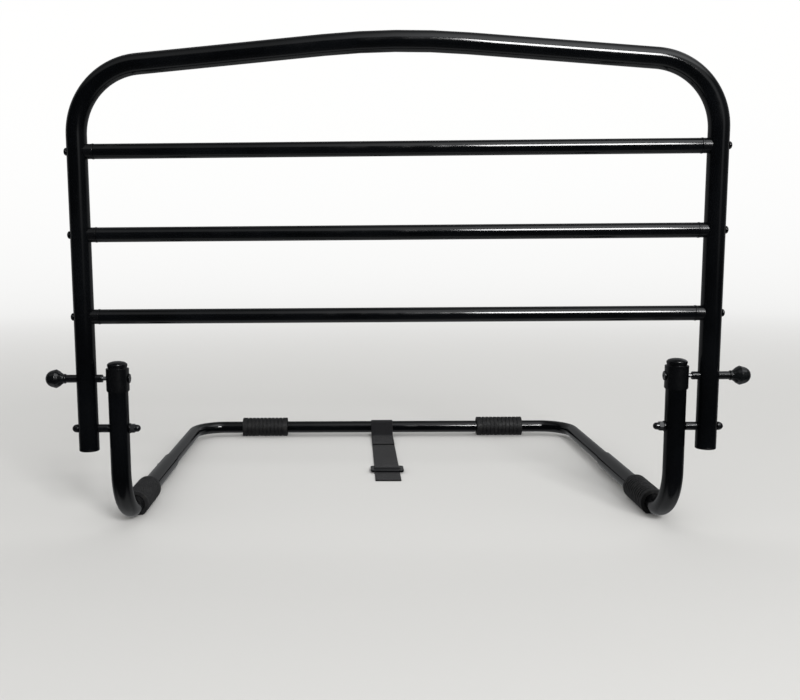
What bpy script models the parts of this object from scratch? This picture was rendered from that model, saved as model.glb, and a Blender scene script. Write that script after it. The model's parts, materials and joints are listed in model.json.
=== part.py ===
"""Folding bed assist rail: a crowned rail with three rungs, hinged on two J-shaped legs.

Metres, +Z up.  X runs across the rail, +Y runs back under the mattress, -Y faces the
room, and z = 0 is the underside of the base pads.  The origin is the centre of the
object's footprint.  Many small pieces sit on axes parallel to X: their local +Z is
"outboard", away from the middle of the rail, and is turned to +X or -X by `outboard`.
"""
import math

import bmesh
import bpy
from mathutils import Matrix, Vector

# ------------------------------------------------------------- driving dimensions
GAP = 0.0003                    # clearance between separate pieces

# Rail: one bent tube, about 30 inches over its two uprights
RAIL_WIDTH = 0.762
RAIL_TUBE_R = 0.0120
TUBE_WALL = 0.0015
RAIL_X = RAIL_WIDTH / 2 - RAIL_TUBE_R      # axis of an upright
CROWN_RISE = 0.4467                        # crown's tube centre above the pivots
CROWN_ANGLE = math.radians(4.9)            # slope of the two arms
CROWN_BEND_R = 0.958
CORNER_BEND_R = 0.080
UPRIGHT_TAIL = 0.0245                      # upright's lower end below the pivots

# Rungs
RUNG_R = 0.0087
RUNG_WALL = 0.0012
RUNG_RISES = {"top": 0.3266, "middle": 0.2308, "bottom": 0.1346}
SADDLE_LENGTH = 0.0075                     # moulded connector seen between rung and upright
SADDLE_SPIGOT = 0.018
SCREW_SHANK_R = 0.002
SCREW_HEAD_R = 0.0045
SCREW_HEAD_HEIGHT = 0.0033

# Legs
LEG_SPACING = 0.0373                       # leg axis inboard of the upright's axis
LEG_X = RAIL_X - LEG_SPACING
LEG_R = RAIL_TUBE_R
LEG_TOP = 0.0732                           # tube's upper end above the pivots
LEG_BEND_R = 0.060
LEG_REACH = 0.300                          # tube's rear end behind its upright part
CAP_HEIGHT = 0.0082

# Pivots and lock
PIVOT_Z = 0.127
PIVOT_BOLT_R = 0.003
LOCK_RISE = 0.0606                         # lock pins above the pivots
LOCK_PIN_R = 0.0025
LOCK_PIN_DEPTH = 0.0055                    # pin's nose past the collar's outer face
COLLAR_R = 0.0137
COLLAR_LENGTH = 0.028
COLLAR_TOP = LEG_TOP - GAP
COLLAR_TAPER = 0.0015                      # tapered length at the collar's lower end
BARREL_R = 0.0048
BARREL_INBOARD = 0.0075                    # barrel standing inboard of the upright
BARREL_OUTBOARD = 0.0125
CHAMBER_R = 0.0040                         # spring chamber inside the barrel
GUIDE_LENGTH = 0.003                       # barrel's closed length at each end of the chamber
ROD_R = 0.0015                             # pin's rod, inside the spring
KNOB_BALL_R = 0.0103
KNOB_RIDGE_R = 0.0113
KNOB_LENGTH = 0.0242

# Base under the mattress
PAD_DROP = 0.0025                          # rubber under the leg tubes
BASE_Z = LEG_R + PAD_DROP                  # centre height of the base tubes
BASE_REACH = 0.560                         # rear cross tube behind the legs
BASE_BEND_R = 0.050
BASE_TUBE_R = LEG_R - TUBE_WALL - GAP
BASE_OVERLAP = 0.090                       # length of base tube inside each leg
PAD_R = 0.017
PAD_LENGTH = 0.080
FRONT_PAD_Y = 0.104                        # pad's middle behind the leg
REAR_PAD_X = 0.210
BUTTON_R = 0.004
BUTTON_Y = LEG_REACH - 0.030               # snap button behind the leg
BUTTON_STAND = 0.0030                      # button standing out of the leg tube

# Retention strap
STRAP_WIDTH = 0.038
STRAP_THICKNESS = 0.0016
STRAP_LENGTH = 0.330
ADJUSTER_Y = -0.270                        # slider, measured from the cross tube
ADJUSTER_THICKNESS = 0.003

# Facets
TUBE_SIDES = 20
SMALL_STEPS = 12
SEAT_SIDES = 24
BEND_STEP = math.radians(12.5)

# Places
TOTAL_DEPTH = COLLAR_R + BASE_REACH + PAD_R
RAIL_Y = -TOTAL_DEPTH / 2 + COLLAR_R       # plane of the upright rail and of the legs
CROSS_Y = RAIL_Y + BASE_REACH
PIVOT = Vector((0, RAIL_Y, PIVOT_Z))
SIDES = {"left": -1, "right": 1}


# ------------------------------------------------------------- scene and materials
def clear_scene():
    for obj in list(bpy.data.objects):
        bpy.data.objects.remove(obj, do_unlink=True)


def make_collection(name):
    collection = bpy.data.collections.new(name)
    bpy.context.scene.collection.children.link(collection)
    return collection


def make_material(name, colour, roughness, metallic):
    material = bpy.data.materials.new(name)
    material.use_nodes = True
    shader = material.node_tree.nodes["Principled BSDF"]
    shader.inputs["Base Color"].default_value = (*colour, 1)
    shader.inputs["Roughness"].default_value = roughness
    shader.inputs["Metallic"].default_value = metallic
    material.diffuse_color = (*colour, 1)
    return material


def add_object(name, mesh, material, collection):
    obj = bpy.data.objects.new(name, mesh)
    collection.objects.link(obj)
    if material is not None and not mesh.materials:
        mesh.materials.append(material)
    return obj


def add_empty(name, location, parent, collection):
    empty = bpy.data.objects.new(name, None)
    empty.empty_display_size = 0.02
    collection.objects.link(empty)
    attach(empty, parent, location)
    return empty


def attach(obj, parent, location):
    """Place obj at a world location, under a parent that isn't turned."""
    obj.location = Vector(location)
    if parent is not None:
        bpy.context.view_layer.update()
        obj.parent = parent
        obj.location = Vector(location) - parent.matrix_world.translation


def outboard(obj, side):
    """Turn local +Z away from the middle of the rail."""
    obj.rotation_euler = (0, side * math.pi / 2, 0)


# ------------------------------------------------------------- shapes
def rounded_path(corners, radii):
    """Polyline through corners, with an arc of the given radius at each inner corner."""
    corners = [Vector(corner) for corner in corners]
    path = [corners[0]]
    for before, corner, after, radius in zip(corners, corners[1:], corners[2:], radii):
        back = (before - corner).normalized()
        ahead = (after - corner).normalized()
        opening = back.angle(ahead)
        turn = math.pi - opening
        centre = corner + (back + ahead).normalized() * radius / math.sin(opening / 2)
        tangent = radius / math.tan(opening / 2)
        first = corner + back * tangent - centre
        last = corner + ahead * tangent - centre
        steps = max(3, round(turn / BEND_STEP))
        for step in range(steps + 1):
            share = step / steps
            weight_first = math.sin((1 - share) * turn) / math.sin(turn)
            weight_last = math.sin(share * turn) / math.sin(turn)
            path.append(centre + first * weight_first + last * weight_last)
    path.append(corners[-1])
    return path


def swept_mesh(name, path, radius, sides, capped):
    """Mesh of a round section swept along a path."""
    curve = bpy.data.curves.new(name, "CURVE")
    curve.dimensions = "3D"
    curve.bevel_depth = radius
    curve.bevel_resolution = sides // 2 - 2
    curve.use_fill_caps = capped
    spline = curve.splines.new("POLY")
    spline.points.add(len(path) - 1)
    for point, place in zip(spline.points, path):
        point.co = (*place, 1)
    guide = bpy.data.objects.new(name + "_path", curve)
    bpy.context.scene.collection.objects.link(guide)
    bpy.context.view_layer.update()
    mesh = bpy.data.meshes.new_from_object(guide.evaluated_get(bpy.context.evaluated_depsgraph_get()))
    bpy.data.objects.remove(guide)
    bpy.data.curves.remove(curve)
    mesh.name = name
    shape = bmesh.new()
    shape.from_mesh(mesh)
    bmesh.ops.remove_doubles(shape, verts=shape.verts, dist=0.000001)
    shape.to_mesh(mesh)
    shape.free()
    return mesh


def smooth(mesh):
    mesh.shade_smooth()
    mesh.set_sharp_from_angle(angle=math.radians(40))


def hollow_tube(name, path, radius, wall, material, collection):
    """Open-ended tube along a path."""
    mesh = swept_mesh(name, path, radius, TUBE_SIDES, False)
    smooth(mesh)
    obj = add_object(name, mesh, material, collection)
    solidify = obj.modifiers.new("wall", "SOLIDIFY")
    solidify.thickness = wall
    solidify.offset = -1
    return obj


def profile_mesh(name, points, closed):
    """Edge loop of (radius, height) points for the Screw modifier."""
    mesh = bpy.data.meshes.new(name)
    shape = bmesh.new()
    verts = [shape.verts.new((radius, 0, height)) for radius, height in points]
    for first, second in zip(verts, verts[1:]):
        shape.edges.new((first, second))
    if closed:
        shape.edges.new((verts[-1], verts[0]))
    shape.to_mesh(mesh)
    shape.free()
    return mesh


def add_screw(obj, steps):
    screw = obj.modifiers.new("turn", "SCREW")
    screw.axis = "Z"
    screw.angle = 2 * math.pi
    screw.steps = steps
    screw.render_steps = steps
    screw.use_merge_vertices = True
    screw.merge_threshold = 0.00001
    screw.use_smooth_shade = True


def arc_points(centre, radius, start, end, steps):
    """(radius, height) points of an arc, from a start angle to an end angle in degrees."""
    points = []
    for step in range(steps + 1):
        angle = math.radians(start + (end - start) * step / steps)
        points.append((centre[0] + radius * math.cos(angle), centre[1] + radius * math.sin(angle)))
    return points


def dome_points(radius, base, height, steps):
    """Quarter ellipse from the axis at the top down to the rim."""
    points = []
    for step in range(steps + 1):
        angle = math.pi / 2 * (1 - step / steps)
        points.append((radius * math.cos(angle), base + height * math.sin(angle)))
    points[0] = (0, base + height)
    return points


def ring_points(inner, outer, low, high, chamfer):
    """Closed section of a ring: down its outer side, up its bore."""
    return [
        (inner, high),
        (outer - chamfer, high),
        (outer, high - chamfer),
        (outer, low + chamfer),
        (outer - chamfer, low),
        (inner, low),
    ]


def add_hole_cutter(name, holes, collection, sides=SMALL_STEPS):
    """One cutter of round bars; each hole is (centre, axis, radius, length)."""
    mesh = bpy.data.meshes.new(name)
    shape = bmesh.new()
    for centre, axis, radius, length in holes:
        turn = Vector((0, 0, 1)).rotation_difference(Vector(axis)).to_matrix().to_4x4()
        bmesh.ops.create_cone(
            shape,
            cap_ends=True,
            segments=sides,
            radius1=radius,
            radius2=radius,
            depth=length,
            matrix=Matrix.Translation(Vector(centre)) @ turn,
        )
    shape.to_mesh(mesh)
    shape.free()
    cutter = add_object(name, mesh, None, collection)
    cutter.hide_render = True
    cutter.display_type = "WIRE"
    return cutter


def add_boolean(obj, cutter, operation):
    boolean = obj.modifiers.new(operation.lower(), "BOOLEAN")
    boolean.operation = operation
    boolean.object = cutter
    boolean.solver = "EXACT"


# ------------------------------------------------------------- builder
class Builder:
    """Holds the collections and materials that every sub-part uses."""

    def __init__(self):
        self.parts = make_collection("bed_assist_rail")
        self.cutters = make_collection("cutters")
        self.powder = make_material("powder_coat", (0.012, 0.013, 0.016), 0.28, 0.0)
        self.plastic = make_material("black_plastic", (0.015, 0.015, 0.017), 0.35, 0.0)
        self.hardware = make_material("black_hardware", (0.02, 0.02, 0.022), 0.25, 0.9)
        self.steel = make_material("bare_steel", (0.56, 0.56, 0.58), 0.35, 1.0)
        self.rubber = make_material("black_rubber", (0.02, 0.02, 0.02), 0.8, 0.0)
        self.webbing = make_material("black_webbing", (0.015, 0.015, 0.017), 0.9, 0.0)
        self.fold = add_empty("rail_fold_axis", PIVOT, None, self.parts)
        self.slides = {}
        for side_name, side in SIDES.items():
            place = PIVOT + Vector((side * RAIL_X, 0, LOCK_RISE))
            self.slides[side_name] = add_empty("lock_axis_" + side_name, place, self.fold, self.parts)

    def turned_pair(self, name, points, closed, steps, material, rise, parents):
        """Left and right copies on an axis parallel to X, measured from the upright's axis."""
        mesh = profile_mesh(name, points, closed)
        pair = {}
        for side_name, side in SIDES.items():
            obj = add_object(name + "_" + side_name, mesh, material, self.parts)
            add_screw(obj, steps)
            outboard(obj, side)
            place = PIVOT + Vector((side * RAIL_X, 0, rise))
            attach(obj, parents[side_name], place)
            pair[side_name] = obj
        return pair


# ------------------------------------------------------------- rail
def build_rail_frame(builder):
    shoulder = CROWN_RISE + CROWN_BEND_R * (1 / math.cos(CROWN_ANGLE) - 1)
    corner = shoulder - RAIL_X * math.tan(CROWN_ANGLE)
    corners = [
        (-RAIL_X, 0, -UPRIGHT_TAIL),
        (-RAIL_X, 0, corner),
        (0, 0, shoulder),
        (RAIL_X, 0, corner),
        (RAIL_X, 0, -UPRIGHT_TAIL),
    ]
    path = rounded_path(corners, [CORNER_BEND_R, CROWN_BEND_R, CORNER_BEND_R])
    frame = hollow_tube("rail_frame", path, RAIL_TUBE_R, TUBE_WALL, builder.powder, builder.parts)
    attach(frame, builder.fold, PIVOT)

    across = 4 * RAIL_TUBE_R
    holes = []
    for side in SIDES.values():
        upright = side * RAIL_X
        holes.append(((upright, 0, 0), (1, 0, 0), PIVOT_BOLT_R + GAP, across))
        holes.append(((upright, 0, LOCK_RISE), (1, 0, 0), BARREL_R + GAP, across))
        for rise in RUNG_RISES.values():
            holes.append(((upright, 0, rise), (1, 0, 0), SCREW_SHANK_R + GAP, across))
    cutter = add_hole_cutter("rail_frame_holes", holes, builder.cutters)
    attach(cutter, builder.fold, PIVOT)
    add_boolean(frame, cutter, "DIFFERENCE")


def build_end_plugs(builder):
    """Plastic plugs that close the lower ends of the rail tube."""
    spigot = RAIL_TUBE_R - TUBE_WALL - GAP
    flange = 0.0025
    depth = 0.012
    wall = 0.0015
    points = [
        (spigot - wall, depth),
        (spigot, depth),
        (spigot, -GAP),
        (RAIL_TUBE_R, -GAP),
        (RAIL_TUBE_R, -GAP - flange / 2),
        (RAIL_TUBE_R - flange / 2, -GAP - flange),
        (0, -GAP - flange),
    ]
    inside = [(0, 0), (spigot - wall, 0)]
    mesh = profile_mesh("rail_end_plug", inside + points, False)
    for side_name, side in SIDES.items():
        plug = add_object("rail_end_plug_" + side_name, mesh, builder.plastic, builder.parts)
        add_screw(plug, TUBE_SIDES)
        attach(plug, builder.fold, PIVOT + Vector((side * RAIL_X, 0, -UPRIGHT_TAIL)))


def build_rungs(builder):
    half = RAIL_X - RAIL_TUBE_R - SADDLE_LENGTH - GAP
    for level, rise in RUNG_RISES.items():
        path = [Vector((-half, 0, 0)), Vector((half, 0, 0))]
        rung = hollow_tube("rung_" + level, path, RUNG_R, RUNG_WALL, builder.powder, builder.parts)
        attach(rung, builder.fold, PIVOT + Vector((0, 0, rise)))


def build_saddles(builder):
    """Moulded connectors: a spigot in the rung, a shoulder, and a hollow that fits the upright."""
    face = -RAIL_TUBE_R - SADDLE_LENGTH
    spigot = RUNG_R - RUNG_WALL - GAP
    bore = SCREW_SHANK_R + GAP
    lip = 0.0004
    wings = -0.0085                        # the hollow end is cut back from here
    points = [
        (bore, wings),
        (RUNG_R, wings),
        (RUNG_R, face + 3 * lip),
        (RUNG_R + lip, face + 2 * lip),
        (RUNG_R + lip, face),
        (spigot, face),
        (spigot, face - SADDLE_SPIGOT),
        (bore, face - SADDLE_SPIGOT),
    ]
    mesh = profile_mesh("rung_saddle", points, True)
    seat = [((0, 0, 0), (1, 0, 0), RAIL_TUBE_R + GAP, 0.04)]
    for level, rise in RUNG_RISES.items():
        for side_name, side in SIDES.items():
            place = PIVOT + Vector((side * RAIL_X, 0, rise))
            saddle = add_object(f"rung_saddle_{level}_{side_name}", mesh, builder.plastic, builder.parts)
            add_screw(saddle, TUBE_SIDES)
            outboard(saddle, side)
            attach(saddle, builder.fold, place)
            name = f"rung_saddle_{level}_{side_name}_seat"
            cutter = add_hole_cutter(name, seat, builder.cutters, SEAT_SIDES)
            outboard(cutter, side)
            attach(cutter, builder.fold, place)
            add_boolean(saddle, cutter, "DIFFERENCE")


def build_rung_screws(builder):
    """Dome-head screws through the upright into each saddle."""
    seat = RAIL_TUBE_R + GAP
    rim = 0.0008
    tip = -RAIL_TUBE_R - SADDLE_LENGTH - 0.9 * SADDLE_SPIGOT
    points = dome_points(SCREW_HEAD_R, seat + rim, SCREW_HEAD_HEIGHT - rim, 3)
    points += [(SCREW_HEAD_R, seat), (SCREW_SHANK_R, seat), (SCREW_SHANK_R, tip), (0, tip)]
    for level, rise in RUNG_RISES.items():
        parents = dict.fromkeys(SIDES, builder.fold)
        builder.turned_pair("rung_screw_" + level, points, False, SMALL_STEPS, builder.hardware, rise, parents)


# ------------------------------------------------------------- lock plungers
def plunger_layout():
    """Heights along the plunger's axis, outboard of the upright's axis."""
    layout = {}
    layout["nose"] = -LEG_SPACING + COLLAR_R - LOCK_PIN_DEPTH
    layout["barrel_in"] = -RAIL_TUBE_R - BARREL_INBOARD
    layout["chamber_in"] = layout["barrel_in"] + GUIDE_LENGTH
    layout["barrel_out"] = RAIL_TUBE_R + BARREL_OUTBOARD
    layout["chamber_out"] = layout["barrel_out"] - GUIDE_LENGTH
    layout["shoulder_in"] = layout["chamber_in"] + GAP
    layout["shoulder_out"] = layout["shoulder_in"] + 0.002
    layout["knob_in"] = layout["barrel_out"] + GAP
    layout["rod_out"] = layout["knob_in"] + 0.008
    return layout


def build_barrels(builder):
    """Fixed barrels through the uprights: spring chamber with a guide at each end."""
    at = plunger_layout()
    guide = LOCK_PIN_R + GAP
    chamfer = 0.0005
    points = [
        (ROD_R + GAP, at["barrel_out"]),
        (BARREL_R - chamfer, at["barrel_out"]),
        (BARREL_R, at["barrel_out"] - chamfer),
        (BARREL_R, at["barrel_in"] + chamfer),
        (BARREL_R - chamfer, at["barrel_in"]),
        (guide, at["barrel_in"]),
        (guide, at["chamber_in"]),
        (CHAMBER_R, at["chamber_in"]),
        (CHAMBER_R, at["chamber_out"]),
        (ROD_R + GAP, at["chamber_out"]),
    ]
    parents = dict.fromkeys(SIDES, builder.fold)
    builder.turned_pair("plunger_barrel", points, True, SMALL_STEPS, builder.hardware, LOCK_RISE, parents)


def build_lock_pins(builder):
    """Pins with a spring shoulder, and a rod that the knob screws on."""
    at = plunger_layout()
    chamfer = 0.0008
    points = [
        (0, at["rod_out"]),
        (ROD_R, at["rod_out"]),
        (ROD_R, at["shoulder_out"]),
        (CHAMBER_R - GAP, at["shoulder_out"]),
        (CHAMBER_R - GAP, at["shoulder_in"]),
        (LOCK_PIN_R, at["shoulder_in"]),
        (LOCK_PIN_R, at["nose"] + chamfer),
        (LOCK_PIN_R - chamfer, at["nose"]),
        (0, at["nose"]),
    ]
    builder.turned_pair("lock_pin", points, False, SMALL_STEPS, builder.steel, LOCK_RISE, builder.slides)


def build_plunger_springs(builder):
    """Compression springs between the pin's shoulder and the barrel's outer guide."""
    at = plunger_layout()
    wire_r = 0.0004
    coil_r = (ROD_R + CHAMBER_R) / 2
    low = at["shoulder_out"] + wire_r + GAP
    high = at["chamber_out"] - wire_r - GAP
    turns = 5
    steps_per_turn = 8
    path = []
    for step in range(turns * steps_per_turn + 1):
        angle = 2 * math.pi * step / steps_per_turn
        height = low + (high - low) * step / (turns * steps_per_turn)
        path.append(Vector((coil_r * math.cos(angle), coil_r * math.sin(angle), height)))
    mesh = swept_mesh("plunger_spring", path, wire_r, 6, True)
    for side_name, side in SIDES.items():
        spring = add_object("plunger_spring_" + side_name, mesh, builder.steel, builder.parts)
        outboard(spring, side)
        attach(spring, builder.fold, PIVOT + Vector((side * RAIL_X, 0, LOCK_RISE)))


def build_knobs(builder):
    """Ball knobs with a sharp grip ridge and a stepped neck."""
    at = plunger_layout()
    start = at["knob_in"]
    tip = start + KNOB_LENGTH
    centre = tip - KNOB_BALL_R
    ridge = tip - 0.0128
    ball_end = centre + 0.0028
    shoulder_r = 0.0093
    shoulder = ridge - 0.0038
    throat_r = 0.0072
    throat = ridge - 0.0063
    neck_r = 0.0055
    neck_start = start + 0.0020
    neck_end = start + 0.0026
    flare_r = 0.0059
    flare_end = start + 0.0016
    flare_edge = 0.0005
    bore = ROD_R + GAP
    ball_steps = 6

    end_angle = math.degrees(math.asin((ball_end - centre) / KNOB_BALL_R))
    ball = arc_points((0, centre), KNOB_BALL_R, 90, end_angle, ball_steps)
    ball[0] = (0, tip)
    outline = ball + [
        (KNOB_RIDGE_R, ridge),
        (shoulder_r, shoulder),
        (throat_r, throat),
        (neck_r, neck_end),
        (neck_r, neck_start),
        (flare_r, flare_end),
        (flare_r, start + flare_edge),
        (flare_r - flare_edge, start),
        (bore, start),
        (bore, at["rod_out"] + GAP),
        (0, at["rod_out"] + GAP),
    ]
    builder.turned_pair("pull_knob", outline, False, TUBE_SIDES, builder.plastic, LOCK_RISE, builder.slides)


# ------------------------------------------------------------- pivots
def build_pivots(builder):
    """Bolt, spacer, washer and dome nut that hinge each upright on its leg."""
    parents = dict.fromkeys(SIDES)
    seat = RAIL_TUBE_R + GAP
    head_r = 0.005
    head_side = 0.0022
    washer_in = -LEG_SPACING - LEG_R - GAP
    washer_out = washer_in - 0.0012
    washer_r = 0.0062
    spacer_r = 0.005
    nut_start = washer_out - GAP
    nut_step = nut_start - 0.0052
    nut_tip = nut_start - 0.0118
    bolt_tip = nut_start - 0.0080
    hex_flat = 0.005
    hex_corner = hex_flat / math.cos(math.pi / 6)
    bore = PIVOT_BOLT_R + GAP

    bolt = dome_points(head_r, seat + head_side, head_r, 4)
    bolt += [(head_r, seat), (PIVOT_BOLT_R, seat), (PIVOT_BOLT_R, bolt_tip), (0, bolt_tip)]
    builder.turned_pair("pivot_bolt", bolt, False, SMALL_STEPS, builder.hardware, 0, parents)

    spacer = ring_points(bore, spacer_r, -LEG_SPACING + LEG_R + GAP, -RAIL_TUBE_R - GAP, 0.0004)
    builder.turned_pair("pivot_spacer", spacer, True, SMALL_STEPS, builder.hardware, 0, parents)

    washer = ring_points(bore, washer_r, washer_out, washer_in, 0.0002)
    builder.turned_pair("pivot_washer", washer, True, SMALL_STEPS, builder.hardware, 0, parents)

    dome_r = 0.0043
    chamfer = 0.0005
    nut = [
        (0, bolt_tip - GAP),
        (bore, bolt_tip - GAP),
        (bore, nut_start),
        (hex_flat, nut_start),
        (hex_corner, nut_start - chamfer),
        (hex_corner, nut_step + chamfer),
        (hex_flat, nut_step),
        (dome_r, nut_step),
        (dome_r, nut_tip + dome_r * 0.9),
        (dome_r * 0.75, nut_tip + dome_r * 0.28),
        (dome_r * 0.4, nut_tip + dome_r * 0.07),
        (0, nut_tip),
    ]
    nuts = builder.turned_pair("dome_nut", nut, False, TUBE_SIDES, builder.hardware, 0, parents)
    for side_name, side in SIDES.items():
        mesh = bpy.data.meshes.new("dome_nut_hexagon_" + side_name)
        shape = bmesh.new()
        bmesh.ops.create_cone(shape, cap_ends=True, segments=6, radius1=hex_corner, radius2=hex_corner, depth=0.03)
        shape.to_mesh(mesh)
        shape.free()
        hexagon = add_object(mesh.name, mesh, None, builder.cutters)
        hexagon.hide_render = True
        hexagon.display_type = "WIRE"
        outboard(hexagon, side)
        middle = Vector((side * (RAIL_X + (nut_start + nut_tip) / 2), 0, 0))
        attach(hexagon, None, PIVOT + middle)
        add_boolean(nuts[side_name], hexagon, "INTERSECT")


# ------------------------------------------------------------- legs
def build_legs(builder):
    """J-shaped tubes: upright in front of the mattress, then back underneath it."""
    lower = BASE_Z - PIVOT_Z
    corners = [(0, 0, LEG_TOP), (0, 0, lower), (0, LEG_REACH, lower)]
    path = rounded_path(corners, [LEG_BEND_R])
    for side_name, side in SIDES.items():
        place = PIVOT + Vector((side * LEG_X, 0, 0))
        leg = hollow_tube("leg_" + side_name, path, LEG_R, TUBE_WALL, builder.powder, builder.parts)
        attach(leg, None, place)
        wall = 2 * TUBE_WALL
        middle = LEG_R - TUBE_WALL / 2
        holes = [
            ((0, 0, 0), (1, 0, 0), PIVOT_BOLT_R + GAP, 4 * LEG_R),
            ((side * middle, 0, LOCK_RISE), (1, 0, 0), LOCK_PIN_R + GAP, wall),
            ((-side * middle, 0, LOCK_RISE), (1, 0, 0), SCREW_SHANK_R + GAP, wall),
            ((side * middle, BUTTON_Y, lower), (1, 0, 0), BUTTON_R + GAP, wall + 0.001),
        ]
        cutter = add_hole_cutter("leg_holes_" + side_name, holes, builder.cutters)
        attach(cutter, None, place)
        add_boolean(leg, cutter, "DIFFERENCE")


def build_leg_caps(builder):
    """Domed plastic caps in the legs' upper ends."""
    spigot = LEG_R - TUBE_WALL - GAP
    wall = 0.0015
    depth = 0.010
    edge = 0.0042
    crown = CAP_HEIGHT - edge
    shoulder = 0.0025
    points = [
        (0, CAP_HEIGHT),
        (0.55 * LEG_R, CAP_HEIGHT - 0.15 * crown),
        (LEG_R - shoulder, CAP_HEIGHT - 0.45 * crown),
        (LEG_R - 0.3 * shoulder, CAP_HEIGHT - 0.75 * crown),
        (LEG_R, edge),
        (LEG_R, GAP),
        (spigot, GAP),
        (spigot, -depth),
        (spigot - wall, -depth),
        (spigot - wall, GAP),
        (0, GAP),
    ]
    mesh = profile_mesh("leg_cap", points, False)
    for side_name, side in SIDES.items():
        cap = add_object("leg_cap_" + side_name, mesh, builder.plastic, builder.parts)
        add_screw(cap, TUBE_SIDES)
        attach(cap, None, PIVOT + Vector((side * LEG_X, 0, LEG_TOP)))


def build_collars(builder):
    """Sleeves at the legs' tops that receive the lock pins, each held by one low screw."""
    low = COLLAR_TOP - COLLAR_LENGTH - LOCK_RISE
    high = COLLAR_TOP - LOCK_RISE
    bore = LEG_R + GAP
    ease = 0.0004
    section = [
        (bore, high),
        (COLLAR_R - ease, high),
        (COLLAR_R, high - ease),
        (COLLAR_R, low + COLLAR_TAPER),
        (bore + ease, low),
        (bore, low),
    ]
    mesh = profile_mesh("lock_collar", section, True)
    middle = (LEG_R + COLLAR_R) / 2
    for side_name, side in SIDES.items():
        place = PIVOT + Vector((side * LEG_X, 0, LOCK_RISE))
        collar = add_object("lock_collar_" + side_name, mesh, builder.plastic, builder.parts)
        add_screw(collar, TUBE_SIDES)
        attach(collar, None, place)
        holes = [
            ((side * middle, 0, 0), (1, 0, 0), LOCK_PIN_R + GAP, 0.006),
            ((-side * middle, 0, 0), (1, 0, 0), SCREW_SHANK_R + GAP, 0.006),
        ]
        cutter = add_hole_cutter("lock_collar_holes_" + side_name, holes, builder.cutters)
        attach(cutter, None, place)
        add_boolean(collar, cutter, "DIFFERENCE")

    seat = -LEG_SPACING - COLLAR_R - GAP
    head_r = 0.0056
    head = 0.0012
    tip = seat + 0.0075
    points = [
        (0, tip),
        (SCREW_SHANK_R, tip),
        (SCREW_SHANK_R, seat),
        (head_r, seat),
        (head_r, seat - 0.6 * head),
        (0.88 * head_r, seat - head),
        (0, seat - head),
    ]
    parents = dict.fromkeys(SIDES)
    builder.turned_pair("collar_screw", points, False, SMALL_STEPS, builder.hardware, LOCK_RISE, parents)


# ------------------------------------------------------------- base under the mattress
def build_base_tube(builder):
    """U-shaped tube that plugs into both legs and joins them at the back."""
    start = LEG_REACH - BASE_OVERLAP
    corners = [(-LEG_X, start, 0), (-LEG_X, BASE_REACH, 0), (LEG_X, BASE_REACH, 0), (LEG_X, start, 0)]
    path = rounded_path(corners, [BASE_BEND_R, BASE_BEND_R])
    base = hollow_tube("base_tube", path, BASE_TUBE_R, TUBE_WALL, builder.powder, builder.parts)
    place = Vector((0, RAIL_Y, BASE_Z))
    attach(base, None, place)
    middle = BASE_TUBE_R - TUBE_WALL / 2
    holes = []
    for side in SIDES.values():
        centre = (side * (LEG_X + middle), BUTTON_Y, 0)
        holes.append((centre, (1, 0, 0), BUTTON_R + GAP, 2 * TUBE_WALL + 0.001))
    cutter = add_hole_cutter("base_tube_holes", holes, builder.cutters)
    attach(cutter, None, place)
    add_boolean(base, cutter, "DIFFERENCE")


def build_snap_buttons(builder):
    """Spring buttons that hold the base tube in each leg, and the leaf springs behind them."""
    flange_r = 0.0050
    flange_top = 0.0068
    flange_low = 0.0058
    top = LEG_R + BUTTON_STAND
    dome = 0.0020
    points = dome_points(BUTTON_R, top - dome, dome, 3)
    points += [(BUTTON_R, flange_top), (flange_r, flange_top), (flange_r, flange_low), (0, flange_low)]
    mesh = profile_mesh("snap_button", points, False)

    leaf = 0.0006
    leaf_width = 0.008
    outer = flange_low - GAP - leaf / 2    # leaf behind the button
    inner = -0.0068                        # leaf against the far wall
    end = 0.007
    length = 0.045
    corners = [(outer, end, 0), (outer, -length, 0), (inner, -length, 0), (inner, end, 0)]
    bend = 0.98 * (outer - inner) / 2
    spring_path = rounded_path(corners, [bend, bend])
    strip = strip_mesh("snap_spring", spring_path, Vector((0, 0, 1)), leaf_width)
    for side_name, side in SIDES.items():
        place = Vector((side * LEG_X, RAIL_Y + BUTTON_Y, BASE_Z))
        button = add_object("snap_button_" + side_name, mesh, builder.steel, builder.parts)
        add_screw(button, SMALL_STEPS)
        outboard(button, side)
        attach(button, None, place)
        spring = add_object("snap_spring_" + side_name, strip, builder.steel, builder.parts)
        spring.rotation_euler = (0, 0 if side > 0 else math.pi, 0)
        attach(spring, None, place)
        solidify = spring.modifiers.new("leaf", "SOLIDIFY")
        solidify.thickness = leaf
        solidify.offset = 0


def strip_mesh(name, path, across, width):
    """Flat ribbon that follows a path, as an open surface."""
    mesh = bpy.data.meshes.new(name)
    shape = bmesh.new()
    rows = []
    for place in path:
        near = shape.verts.new(place - across * width / 2)
        far = shape.verts.new(place + across * width / 2)
        rows.append((near, far))
    for (near, far), (next_near, next_far) in zip(rows, rows[1:]):
        shape.faces.new((near, far, next_far, next_near))
    shape.to_mesh(mesh)
    shape.free()
    smooth(mesh)
    return mesh


def pad_mesh(name, bore):
    """Sleeve with a flat underside, its bore along local Z and its underside at local -Y."""
    flat_angle = math.degrees(math.asin(BASE_Z / PAD_R))
    outline = arc_points((0, 0), PAD_R, -flat_angle, 180 + flat_angle, TUBE_SIDES)
    hole = arc_points((0, 0), bore, 0, 360, TUBE_SIDES)[:-1]
    return plate_mesh(name, [outline, hole], PAD_LENGTH)


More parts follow.
